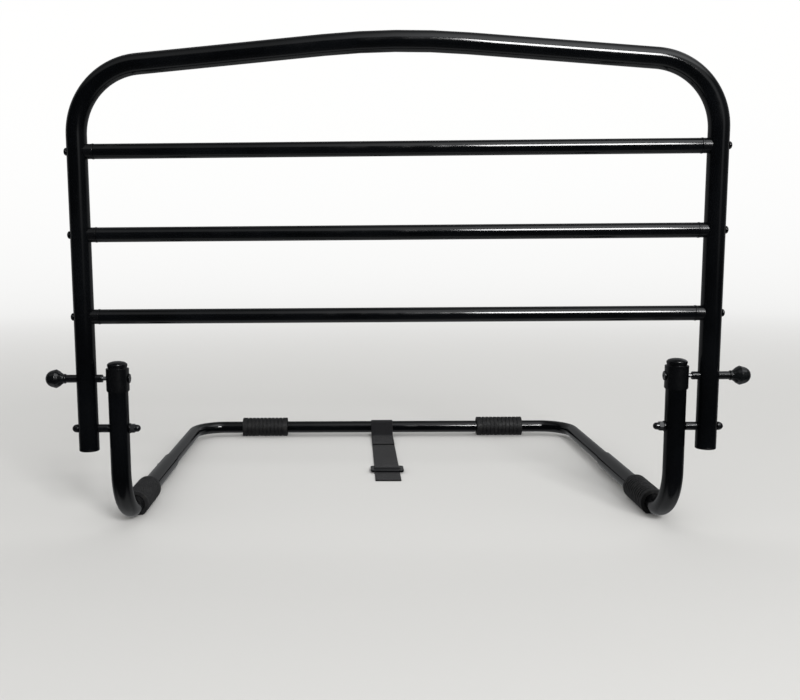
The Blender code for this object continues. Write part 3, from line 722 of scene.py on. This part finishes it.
def saddle_shape(inner_end, face):
    """Turned connector whose outboard end is hollowed to sit on the round upright."""
    seat_r = TUBE_R + GAP
    lip_r = half_size("rung_saddle_top_right").z
    spigot = RUNG_R - RUNG_WALL - GAP
    bore = SCREW_SHANK_R + GAP
    lip, lip_end, plain_end = 0.0016, 0.0020, 0.0030
    plain = eased_outline([
        (bore, inner_end, 0),
        (spigot, inner_end, 0.0004),
        (spigot, face, CRISP),
        (lip_r, face, EASED),
        (lip_r, face + lip, 0.0004),
        (RUNG_R, face + lip_end, EASED),
        (RUNG_R, face + plain_end, 0),
    ])
    flat_end = RUNG_R - EASED
    seated = [(RUNG_R, -EASED), (RUNG_R - 0.3 * EASED, -0.3 * EASED), (flat_end, 0)]
    seated += [(radius, 0) for radius in np.linspace(flat_end, bore, 6)[1:]]

    def ring(radius, along, hollowed):
        points = []
        for cosine, sine in around(TURNED_STEPS):
            sunk = math.sqrt(seat_r ** 2 - (radius * sine) ** 2) if hollowed else 0
            points.append((radius * cosine, radius * sine, along - sunk))
        return points

    rings = [ring(*point, False) for point in plain] + [ring(*point, True) for point in seated]
    return lofted(rings, closed=True)


def build_saddles():
    for level in LEVELS:
        stem = "rung_saddle_" + level
        inner_end = span(stem)[0]
        face = highest("rung_" + level).x + GAP - UPRIGHT_X
        placing = across_at(middle("rung_" + level).z)
        on_both_sides(stem, lambda: mesh_from(saddle_shape(inner_end, face), stem), placing)


def round_head(stem, shank_r, rim, first, steps, ease):
    """Outline corners of a screw: a dome on a rim that bears on the tube, and a shank."""
    tip, top = span(stem)
    head_r = half_size(stem + "_right").z
    seat = TUBE_R + GAP
    return [
        (0, top, 0),
        *dome(head_r, seat + rim, top - seat - rim, first, 0, steps),
        (head_r, seat, ease),
        (shank_r, seat, FINE),
        (shank_r, tip, SOFT),
        (0, tip, 0),
    ]


def build_rung_screws():
    """Button-head screws with a hexagonal socket."""
    rim = 0.0007
    socket_depth = 0.0017
    for level in LEVELS:
        stem = "rung_screw_" + level
        top = span(stem)[1]
        turned_pieces(
            stem,
            round_head(stem, SCREW_SHANK_R, rim, 78, 10, FINE),
            across_at(middle("rung_" + level).z),
            cutter=lambda: hexagon(SOCKET_FLATS, top - socket_depth, top + socket_depth),
        )


# --------------- lock plungers
def build_barrels():
    """Fixed barrels with a closed guide at each end of the spring chamber."""
    inner, outer = span("plunger_barrel")
    barrel_r = half_size("plunger_barrel_right").z
    corners = [
        (ROD_R + GAP, outer, FINE),
        (barrel_r, outer, SOFT),
        (barrel_r, inner, 0.0006),
        (LOCK_PIN_R + GAP, inner, EASED),
        (LOCK_PIN_R + GAP, inner + GUIDE_LENGTH, 0),
        (CHAMBER_R, inner + GUIDE_LENGTH, 0),
        (CHAMBER_R, outer - GUIDE_LENGTH, 0),
        (ROD_R + GAP, outer - GUIDE_LENGTH, 0),
    ]
    turned_pieces("plunger_barrel", corners, across_at(LOCK_Z), closed=True)


def build_lock_pins():
    """Pins with a tapered nose, a spring shoulder and a rod for the knob."""
    nose, rod_end = span("lock_pin")
    shoulder = span("plunger_barrel")[0] + GUIDE_LENGTH + GAP
    shoulder_end = shoulder + 0.002
    taper, taper_in = 0.0012, 0.0009
    corners = [
        (0, rod_end, 0),
        (ROD_R, rod_end, EASED),
        (ROD_R, shoulder_end, 0),
        (CHAMBER_R - GAP, shoulder_end, FINE),
        (CHAMBER_R - GAP, shoulder, FINE),
        (LOCK_PIN_R, shoulder, 0),
        (LOCK_PIN_R, nose + taper, 0.0008),
        (LOCK_PIN_R - taper_in, nose, 0.0004),
        (0, nose, 0),
    ]
    turned_pieces("lock_pin", corners, across_at(LOCK_Z))


def build_plunger_springs():
    """Close coils of round wire between the shoulder and the outer guide."""
    wire_r = 0.0004
    turns = 5
    turn_steps = 36
    inner, outer = span("plunger_spring")
    rise = (outer - inner - 2 * wire_r) / (turns * turn_steps)
    coil_r = (ROD_R + CHAMBER_R) / 2
    path = []
    across = []
    for step in range(turns * turn_steps + 1):
        angle = 2 * math.pi * step / turn_steps
        direction = Vector((math.cos(angle), math.sin(angle), 0))
        path.append(direction * coil_r + Vector((0, 0, inner + wire_r + rise * step)))
        across.append(direction)
    for side_name, side in SIDES.items():
        rings = rings_along(path, across, [wire_r] * len(path), WIRE_SIDES)
        mesh = mesh_from(lofted(rings, capped=True), "plunger_spring")
        mesh.transform(outboard_at(side, RAIL_Y, LOCK_Z))
        spring = stand_for("plunger_spring_" + side_name, mesh)
        compress(spring)


def build_knobs():
    """Ball knobs: a grip ridge round the ball, a tapered inboard side and a flared foot."""
    start, tip = span("pull_knob")
    ridge_r = half_size("pull_knob_right").z
    ball_r = 0.0103
    centre = tip - ball_r
    ball_end = 0.0028
    ridge = tip - 0.0128
    taper = ((0.0093, 0.0038, 0.004), (0.0072, 0.0063, 0.006))
    throat_r, throat_end, throat_start = 0.0055, 0.0026, 0.0020
    foot_r, foot = 0.0059, 0.0016
    rod_end = span("lock_pin")[1] + GAP
    ball = arc((0, centre), ball_r, 90, math.degrees(math.asin(ball_end / ball_r)), 22)
    corners = [(max(radius, 0), along, 0) for radius, along in ball]
    corners += [
        (ridge_r, ridge, 0.0006),
        *[(radius, ridge - below, fillet) for radius, below, fillet in taper],
        (throat_r, start + throat_end, 0.0010),
        (throat_r, start + throat_start, EASED),
        (foot_r, start + foot, 0.0004),
        (foot_r, start, 0.0006),
        (ROD_R + GAP, start, EASED),
        (ROD_R + GAP, rod_end, FINE),
        (0, rod_end, 0),
    ]
    turned_pieces("pull_knob", corners, across_at(LOCK_Z))


# --------------- pivots
def build_pivot_bolts():
    """Round-head bolts through upright, spacer and leg."""
    rim = 0.0016
    corners = round_head("pivot_bolt", PIVOT_BOLT_R, rim, 84, 14, EASED)
    turned_pieces("pivot_bolt", corners, across_at(PIVOT_Z))


def build_rings():
    """Spacers between the tubes, and washers under the nuts."""
    bore = PIVOT_BOLT_R + GAP
    for stem, ease in (("pivot_spacer", SOFT), ("pivot_washer", EASED)):
        inner, outer = span(stem)
        radius = half_size(stem + "_right").z
        corners = [
            (bore, outer, ease / 2),
            (radius, outer, ease),
            (radius, inner, ease),
            (bore, inner, ease / 2),
        ]
        turned_pieces(stem, corners, across_at(PIVOT_Z), closed=True)


def build_dome_nuts():
    """Acorn nuts: a chamfered hexagon under a dome."""
    tip, seat = span("dome_nut")
    flats = 0.010
    corner = flats / 2 / math.cos(math.pi / 6)
    step = seat - 0.0052
    chamfer = 0.0006
    dome_r = 0.0043
    bore = PIVOT_BOLT_R + GAP
    blind = span("pivot_bolt")[0] - GAP
    dome_end = tip + dome_r
    beyond = 0.001
    corners = [
        (0, blind, 0),
        (bore, blind, 0.0004),
        (bore, seat, EASED),
        (flats / 2, seat, CRISP),
        (corner, seat - chamfer, 0),
        (corner, step + chamfer, 0),
        (flats / 2 - FINE, step, CRISP),
        (dome_r, step - CRISP, 0.0004),
        (dome_r, dome_end, 0.0006),
        *dome(dome_r, dome_end, -dome_r, 12, 84, 10),
        (0, tip, 0),
    ]
    turned_pieces(
        "dome_nut",
        corners,
        across_at(PIVOT_Z),
        cutter=lambda: hexagon(flats, tip - beyond, seat + beyond),
        operation="INTERSECT",
    )


# --------------- legs
def build_legs():
    """J-shaped tubes: upright in front of the mattress, then back underneath it."""
    top = highest("leg_right").z
    rear = highest("leg_right").y
    button_y = middle("snap_button_right").y
    wall = 3 * TUBE_WALL
    skin = TUBE_R - TUBE_WALL / 2
    for side_name, side in SIDES.items():
        x = side * LEG_X
        corners = [(x, RAIL_Y, top), (x, RAIL_Y, BASE_Z), (x, rear, BASE_Z)]
        path = bent_path(corners, [LEG_BEND_R])
        holes = [
            ((x, RAIL_Y, PIVOT_Z), PIVOT_BOLT_R + GAP, 4 * TUBE_R),
            ((x + side * skin, RAIL_Y, LOCK_Z), LOCK_PIN_R + GAP, wall),
            ((x - side * skin, RAIL_Y, LOCK_Z), SCREW_SHANK_R + GAP, wall),
            ((x + side * skin, button_y, BASE_Z), BUTTON_R + GAP, wall),
        ]
        drilled_tube("leg_" + side_name, path, RIGHT, TUBE_R, TUBE_WALL, holes)


def build_leg_caps():
    """Domed caps with a narrow neck above the collar."""
    bottom, top = lowest("leg_cap_right").z, highest("leg_cap_right").z
    seat = highest("leg_right").z + GAP
    edge = seat + 0.0042
    rise, roundness = top - edge - 0.0008, 2.6
    neck, neck_end = 0.0016, 0.0020
    neck_r = TUBE_R - SOFT
    shares = (0.2, 0.4, 0.55, 0.7, 0.82)
    crown = [(TUBE_R * share, top - rise * share ** roundness, 0) for share in shares]
    corners = [
        (0, top, 0),
        *crown,
        (TUBE_R, edge + FINE, 0.0012),
        (TUBE_R, seat + neck_end, 0.0004),
        (neck_r, seat + neck, FINE),
        (neck_r, seat, FINE),
        (SPIGOT_R, seat, CRISP),
        (SPIGOT_R, bottom, SOFT),
        (SPIGOT_BORE_R, bottom, EASED),
        (SPIGOT_BORE_R, seat, EASED),
        (0, seat, 0),
    ]
    turned_pieces("leg_cap", corners, standing_at(LEG_X))


def build_collars():
    """Sleeves that take the lock pins, with rounded rims and a hole on each side."""
    bottom, top = lowest("lock_collar_right").z, highest("lock_collar_right").z
    radius = half_size("lock_collar_right").x
    bore = TUBE_R + GAP
    taper = 0.0015
    corners = [
        (bore, top, CRISP),
        (radius, top, 0.0006),
        (radius, bottom + taper, 0.0010),
        (bore + 0.0004, bottom, FINE),
        (bore, bottom, CRISP),
    ]
    skin = (bore + radius) / 2
    through = 0.006
    for side_name, side in SIDES.items():
        x = side * LEG_X
        mesh = mesh_from(turned_shape(eased_outline(corners, True), True), "lock_collar")
        mesh.transform(Matrix.Translation((x, RAIL_Y, 0)))
        holes = [
            ((x + side * skin, RAIL_Y, LOCK_Z), LOCK_PIN_R + GAP, through),
            ((x - side * skin, RAIL_Y, LOCK_Z), SCREW_SHANK_R + GAP, through),
        ]
        mesh = combined(mesh, bars(holes), "DIFFERENCE")
        shade_straights_round(mesh, [Vector((x, RAIL_Y, bottom)), Vector((x, RAIL_Y, top))])
        stand_for("lock_collar_" + side_name, mesh)


def build_collar_screws():
    """Low-head screws on the collars' inboard side."""
    head, tip = span("collar_screw")
    head_r = half_size("collar_screw_right").z
    seat = LEG_X - half_size("lock_collar_right").x - GAP - UPRIGHT_X
    rim = 0.0007
    socket_depth = 0.001
    corners = [
        (0, tip, 0),
        (SCREW_SHANK_R, tip, SOFT),
        (SCREW_SHANK_R, seat, CRISP),
        (head_r, seat, FINE),
        (head_r, seat - rim, EASED),
        (0.88 * head_r, head, 0.0006),
        (0, head, 0),
    ]
    turned_pieces(
        "collar_screw",
        corners,
        across_at(LOCK_Z),
        cutter=lambda: hexagon(SOCKET_FLATS, head - socket_depth, head + socket_depth),
    )


# --------------- base under the mattress
def build_base_tube():
    start = lowest("base_tube").y
    corners = [
        (-LEG_X, start, BASE_Z),
        (-LEG_X, CROSS_Y, BASE_Z),
        (LEG_X, CROSS_Y, BASE_Z),
        (LEG_X, start, BASE_Z),
    ]
    path = bent_path(corners, [BASE_BEND_R, BASE_BEND_R])
    button_y = middle("snap_button_right").y
    skin = LEG_X + BASE_TUBE_R - TUBE_WALL / 2
    holes = [((side * skin, button_y, BASE_Z), BUTTON_R + GAP, 3 * TUBE_WALL) for side in SIDES.values()]
    drilled_tube("base_tube", path, UP, BASE_TUBE_R, TUBE_WALL, holes)


def build_snap_buttons():
    """Spring buttons with a domed top and a flange behind the tube wall."""
    flange_low = lowest("snap_button_right").x - LEG_X
    top = highest("snap_button_right").x - LEG_X
    flange_r = half_size("snap_button_right").z
    flange_top = flange_low + 0.001
    crown = 0.002
    corners = [
        (0, top, 0),
        *dome(BUTTON_R, top - crown, crown, 80, 0, 10),
        (BUTTON_R, flange_top, FINE),
        (flange_r, flange_top, FINE),
        (flange_r, flange_low, FINE),
        (0, flange_low, 0),
    ]

    def placing(side):
        place = Vector((side * LEG_X, middle("snap_button_right").y, BASE_Z))
        return Matrix.Translation(place) @ Matrix.Rotation(side * math.pi / 2, 4, "Y")

    turned_pieces("snap_button", corners, placing)


def ribbon_shape(path, across, width, thickness, steps):
    """Bmesh of a flat strip with rounded edges that follows a path, mapped in metres."""
    shape = bmesh.new()
    weave = shape.loops.layers.uv.new("weave")
    outline = []
    for side, first in ((1, -90), (-1, 90)):
        centre = (side * (width / 2 - thickness / 2), 0)
        outline += arc(centre, thickness / 2, first, first + 180, steps)
    rings = []
    run = 0.0
    for index, point in enumerate(path):
        up = across.cross(heading(path, index)).normalized()
        run += (point - path[max(index - 1, 0)]).length
        rings.append(([shape.verts.new(point + across * u + up * v) for u, v in outline], run))
    for (ring, start), (following, end) in zip(rings, rings[1:]):
        for index in range(len(outline)):
            after = (index + 1) % len(outline)
            face = shape.faces.new((ring[index], ring[after], following[after], following[index]))
            places = ((index, start), (after, start), (after, end), (index, end))
            for loop, (corner, length) in zip(face.loops, places):
                loop[weave].uv = (outline[corner][0], length)
    shape.faces.new(rings[0][0])
    shape.faces.new(rings[-1][0])
    return shape


def build_snap_springs():
    """U-shaped leaf springs inside the tubes, behind the buttons."""
    leaf = 0.0006
    outer = highest("snap_spring_right").x - LEG_X - leaf / 2
    inner = lowest("snap_spring_right").x - LEG_X + leaf / 2
    front, rear = lowest("snap_spring_right").y + leaf / 2, highest("snap_spring_right").y
    width = 2 * half_size("snap_spring_right").z
    fullness = 0.98
    bend = fullness * (outer - inner) / 2
    for side_name, side in SIDES.items():
        corners = [
            (side * (LEG_X + outer), rear, BASE_Z),
            (side * (LEG_X + outer), front, BASE_Z),
            (side * (LEG_X + inner), front, BASE_Z),
            (side * (LEG_X + inner), rear, BASE_Z),
        ]
        path = bent_path(corners, [bend, bend])
        mesh = mesh_from(ribbon_shape(path, UP, width, leaf, 4), "snap_spring")
        spring = stand_for("snap_spring_" + side_name, mesh)
        compress(spring)


def pad_stations(length):
    """Places along a pad, with how far in its surface lies there: ribs between grooves."""
    rib, groove, depth = 0.0046, 0.0022, 0.0013
    ease, margin, last_rib = 0.0008, 0.005, 0.003
    pitch = rib + groove
    count = round((length - 2 * margin) / pitch)
    first = (length - count * pitch - rib) / 2
    stations = [(0, ease), (0.3 * ease, 0.3 * ease), (ease, 0)]
    for index in range(count + 1):
        start = first + index * pitch + rib
        end = start + groove
        if end <= length - last_rib:
            stations += [(start, 0), (start + EASED, depth), (end - EASED, depth), (end, 0)]
    return stations + [(length - ease, 0), (length - 0.3 * ease, 0.3 * ease), (length, ease)]


def pad_shape(radius, bore, length):
    """Bmesh of a ribbed rubber sleeve along local Z, with a flat underside at local -Y."""
    flat = math.degrees(math.asin(BASE_Z / radius))

    def ring(ring_r, floor, place):
        around_pad = arc((0, 0), ring_r, -flat, 180 + flat, TUBE_SIDES)
        around_pad += arc((0, 0), ring_r, 180 + flat, 360 - flat, 16)[1:-1]
        return [(x, max(y, floor), place - length / 2) for x, y in around_pad]

    rings = [ring(radius - inset, inset - BASE_Z, place) for place, inset in pad_stations(length)]
    rings += [ring(bore, -bore, length), ring(bore, -bore, 0)]
    return lofted(rings, closed=True)


def build_pads():
    """Anti-slip rubber sleeves under the legs and the cross tube."""
    lie_along_y = Matrix.Rotation(math.pi / 2, 4, "X")
    lie_along_x = Matrix.Rotation(math.pi / 2, 4, "Z") @ lie_along_y
    rows = (("front_pad", TUBE_R + GAP, lie_along_y), ("rear_pad", BASE_TUBE_R + GAP, lie_along_x))
    for stem, bore, turn in rows:
        for side_name in SIDES:
            node = f"{stem}_{side_name}"
            half = half_size(node)
            length = 2 * (half.y if stem == "front_pad" else half.x)
            radius = half.x if stem == "front_pad" else half.y
            mesh = mesh_from(pad_shape(radius, bore, length), node)
            place = Vector((middle(node).x, middle(node).y, BASE_Z))
            mesh.transform(Matrix.Translation(place) @ turn)
            weigh_normals(stand_for(node, mesh))


def strap_path():
    """Centre line of the strap, from its free end to its sewn end."""
    half = STRAP_THICKNESS / 2
    floor = GAP + half
    loop_r = BASE_TUBE_R + GAP + half
    ply = floor + STRAP_THICKNESS + GAP
    over_bar = floor + half + GAP + ADJUSTER_THICKNESS + GAP + half
    slider = middle("strap_adjuster").y
    ramp_foot, ramp_top, ramp_bend = 0.0075, 0.0045, 0.0012
    corners = [
        (0, lowest("retention_strap").y, floor),
        (0, slider - ramp_foot, floor),
        (0, slider - ramp_top, over_bar),
        (0, slider + ramp_top, over_bar),
        (0, slider + ramp_foot, floor),
        (0, CROSS_Y - 0.030, floor),
    ]
    path = bent_path(corners, [ramp_bend] * 4)
    first, last = -86, 140
    path += [Vector((0, y, z)) for y, z in arc((CROSS_Y, BASE_Z), loop_r, first, last, 60)]
    top = path[-1]
    slope = Vector((0, -math.sin(math.radians(last)), math.cos(math.radians(last))))
    landing = top + slope * (top.z - ply) / -slope.z
    sewn_end = Vector((0, CROSS_Y - 0.095, ply))
    return path + bent_path([top, landing, sewn_end], [0.010])[1:]


def build_strap():
    shape = ribbon_shape(strap_path(), RIGHT, STRAP_WIDTH, STRAP_THICKNESS, 6)
    mesh = mesh_from(shape, "strap")
    stand_for("retention_strap", mesh)


def build_stitching():
    """Box and cross of thread that closes the strap's loop."""
    thread_r = 0.00038
    top = GAP + STRAP_THICKNESS + GAP + STRAP_THICKNESS
    near, far = CROSS_Y - 0.088, CROSS_Y - 0.060
    half = STRAP_WIDTH / 2 - 0.004
    corners = [Vector((x, y, top)) for x, y in ((-half, near), (half, near), (half, far), (-half, far))]
    lines = list(zip(corners, corners[1:] + corners[:1]))
    lines += [(corners[0], corners[2]), (corners[1], corners[3])]
    pitch, stitch = 0.0034, 0.0026
    shape = bmesh.new()
    for start, end in lines:
        count = int((end - start).length / pitch)
        ahead = (end - start).normalized()
        beside = Vector((-ahead.y, ahead.x, 0))
        for index in range(count):
            centre = start + (end - start) * (index + 0.5) / count
            add_stitch(shape, centre, ahead, beside, stitch, thread_r)
    mesh = mesh_from(shape, "strap_stitching")
    mesh.materials.append(thread())
    obj = add_object("strap_stitching", mesh)
    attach(obj, BODIES["retention_strap"])


def add_stitch(shape, centre, ahead, beside, length, radius):
    """One thread stitch: a bowed capsule whose ends dip into the strap."""
    rows, sides = 8, 8
    rings = []
    for row in range(rows + 1):
        share = 2 * row / rows - 1
        thick = radius * math.sqrt(max(1 - share ** 4, 0.02))
        point = centre + ahead * share * length / 2 + UP * radius * (0.5 - share ** 2)
        rings.append([point + (beside * cosine + UP * sine) * thick for cosine, sine in around(sides)])
    lofted(rings, capped=True, shape=shape)


def rounded_rectangle(width, depth, radius, shift):
    """Outline of a rectangle with round corners, shifted along its depth."""
    points = []
    for corner in range(4):
        x = (width / 2 - radius) * (1 if corner in (0, 3) else -1)
        y = shift + (depth / 2 - radius) * (1 if corner in (0, 1) else -1)
        points += arc((x, y), radius, 90 * corner, 90 * corner + 90, 8)
    return points


def build_adjuster():
    """Slider with eased edges and two slots for the strap."""
    ease = 0.0005
    half = half_size("strap_adjuster")
    curve = bpy.data.curves.new("strap_adjuster", "CURVE")
    curve.dimensions = "2D"
    curve.fill_mode = "BOTH"
    curve.bevel_depth = ease
    curve.bevel_resolution = 3
    curve.offset = -ease
    curve.extrude = half.z - ease
    corner_r, slot_corner_r = 0.004, 0.001
    slot_width, slot_depth, slot_shift = STRAP_WIDTH + 0.002, 0.006, 0.006
    loops = [
        rounded_rectangle(2 * half.x, 2 * half.y, corner_r, 0),
        rounded_rectangle(slot_width, slot_depth, slot_corner_r, -slot_shift),
        rounded_rectangle(slot_width, slot_depth, slot_corner_r, slot_shift),
    ]
    for loop in loops:
        spline = curve.splines.new("POLY")
        spline.points.add(len(loop) - 1)
        for point, place in zip(spline.points, loop):
            point.co = (place.x, place.y, 0, 1)
        spline.use_cyclic_u = True
    plate = applied(add_object("adjuster_outline", curve))
    mesh = mesh_from(joined_up(plate, 10 * WELDED), "strap_adjuster")
    mesh.transform(Matrix.Translation(middle("strap_adjuster")))
    weigh_normals(stand_for("strap_adjuster", mesh))


# --------------- studio
def pale_paper():
    """Matte paper that glows white further away, like a lit backdrop."""
    pale = (0.62, 0.615, 0.60)
    finish = Finish("pale_paper", pale, 0.9)
    position = finish.add("ShaderNodeNewGeometry").outputs["Position"]
    distance = finish.add("ShaderNodeVectorMath", {0: position}, operation="LENGTH").outputs["Value"]
    glow = finish.mapped(distance, GLOW_START, GLOW_END)
    finish.tint(glow, pale, (0, 0, 0))
    finish.give("Emission Color", (1.0, 1.0, 0.995, 1))
    finish.give("Emission Strength", glow)
    finish.give("Specular IOR Level", 0.0)
    return finish.material


def add_sweep():
    """Pale floor that curves up into a wall all round."""
    flat_r, curve_r, height = 3.3, 1.6, 5.0
    outline = [Vector((0, 0)), Vector((flat_r * 0.5, 0))]
    outline += arc((flat_r, curve_r), curve_r, -90, 0, 24)
    outline.append(Vector((flat_r + curve_r, height)))
    mesh = mesh_from(turned_shape(outline, steps=96), "studio_sweep")
    mesh.flip_normals()
    mesh.materials.append(pale_paper())
    sweep = add_object("studio_sweep", mesh)
    sweep.visible_glossy = False


def add_area_light(name, place, target, size, power, in_reflections):
    light = bpy.data.lights.new(name, "AREA")
    light.shape = "RECTANGLE"
    light.size, light.size_y = size
    light.energy = power
    obj = add_object(name, light)
    obj.location = place
    obj.rotation_euler = (Vector(target) - Vector(place)).to_track_quat("-Z", "Y").to_euler()
    obj.visible_camera = False
    obj.visible_glossy = in_reflections


def add_lights():
    """One softbox in front to the right, and a weak wide fill from overhead."""
    box_size = (0.90, 0.95)
    radiance = 34
    key_power = radiance * math.pi * box_size[0] * box_size[1]
    place = (0.96, RAIL_Y - 2.85, 1.85)
    add_area_light("key_softbox", place, (0.25, RAIL_Y, 0.4), box_size, key_power, True)
    fill_power = 45
    add_area_light("overhead_fill", (0, 2.0, 3.0), (0, 2.0, 0), (4.0, 3.0), fill_power, False)


def reflected_room(world):
    """Brightness of the room in reflections: soft above, pale to the right, dark elsewhere."""
    x, y, z = world.axes
    ceiling = world.product(
        world.mapped(z, 0.48, 0.70),
        world.mapped(y, -0.75, 0.45, 2.2, 0.06),
        world.mapped(x, -0.15, 0.32, 0.16, 1.0),
    )
    panel_start = world.mapped(x, 0.30, 0.48, 0.0, 0.5)
    panel_end = world.mapped(x, 0.58, 0.80, 0.0, 0.44)
    panel = world.math("SUBTRACT", panel_start, panel_end)
    panel = world.product(panel, world.mapped(z, -0.12, 0.20))
    floor = world.mapped(z, -0.45, -0.90, 0.0, 0.34)
    floor = world.product(floor, world.mapped(y, -0.42, -0.18, 0.10, 1.0))
    behind = world.mapped(y, 0.05, 0.45, 0.0, 0.22)
    everywhere = 0.015
    room = world.math("ADD", world.math("MAXIMUM", ceiling, panel), world.math("ADD", floor, everywhere))
    return world.math("MAXIMUM", room, behind)


def add_world():
    """Dim white room, with its own brightness in reflections."""
    world = World("studio_world")
    reflected = world.add("ShaderNodeLightPath").outputs["Is Glossy Ray"]
    dimness = 0.15
    lit = world.product(world.math("SUBTRACT", 1.0, reflected), dimness)
    seen = world.product(reflected, reflected_room(world))
    world.join(world.background.inputs["Strength"], world.math("ADD", lit, seen))
    world.join(world.background.inputs["Color"], (0.97, 0.985, 1.0, 1))


def add_camera():
    """Seen from the room, a little left of the middle and from mattress height."""
    yaw, pitch, roll = (math.radians(angle) for angle in (-1.072, -7.289, -0.456))
    place = (-0.0489, RAIL_Y - 1.100, PIVOT_Z + 0.223)
    camera = bpy.data.cameras.new("photo_view")
    camera.sensor_width = 36
    camera.lens = 42.06
    camera.shift_x = 0.0788
    camera.shift_y = 0.0115
    obj = add_object("photo_view", camera)
    forward = Vector((math.sin(yaw) * math.cos(pitch), math.cos(yaw) * math.cos(pitch), math.sin(pitch)))
    right = Vector((math.cos(yaw), -math.sin(yaw), 0))
    up = right.cross(forward)
    rolled_right = math.cos(roll) * right + math.sin(roll) * up
    rolled_up = -math.sin(roll) * right + math.cos(roll) * up
    turn = Matrix((rolled_right, rolled_up, -forward)).transposed().to_4x4()
    obj.matrix_world = Matrix.Translation(place) @ turn
    bpy.context.scene.camera = obj


def build_studio():
    bpy.context.scene.view_settings.view_transform = "Standard"
    add_sweep()
    add_lights()
    add_world()
    add_camera()


# --------------- all together
def build_object():
    for make in (powder_coat, moulded_plastic, knob_plastic, black_hardware, bare_steel, rubber, webbing):
        finishes[make.__name__] = make()
    build_rail_frame()
    build_end_plugs()
    build_rungs()
    build_saddles()
    build_rung_screws()
    build_barrels()
    build_lock_pins()
    build_plunger_springs()
    build_knobs()
    build_pivot_bolts()
    build_rings()
    build_dome_nuts()
    build_legs()
    build_leg_caps()
    build_collars()
    build_collar_screws()
    build_base_tube()
    build_snap_buttons()
    build_snap_springs()
    build_pads()
    build_strap()
    build_stitching()
    build_adjuster()


build_object()
build_studio()
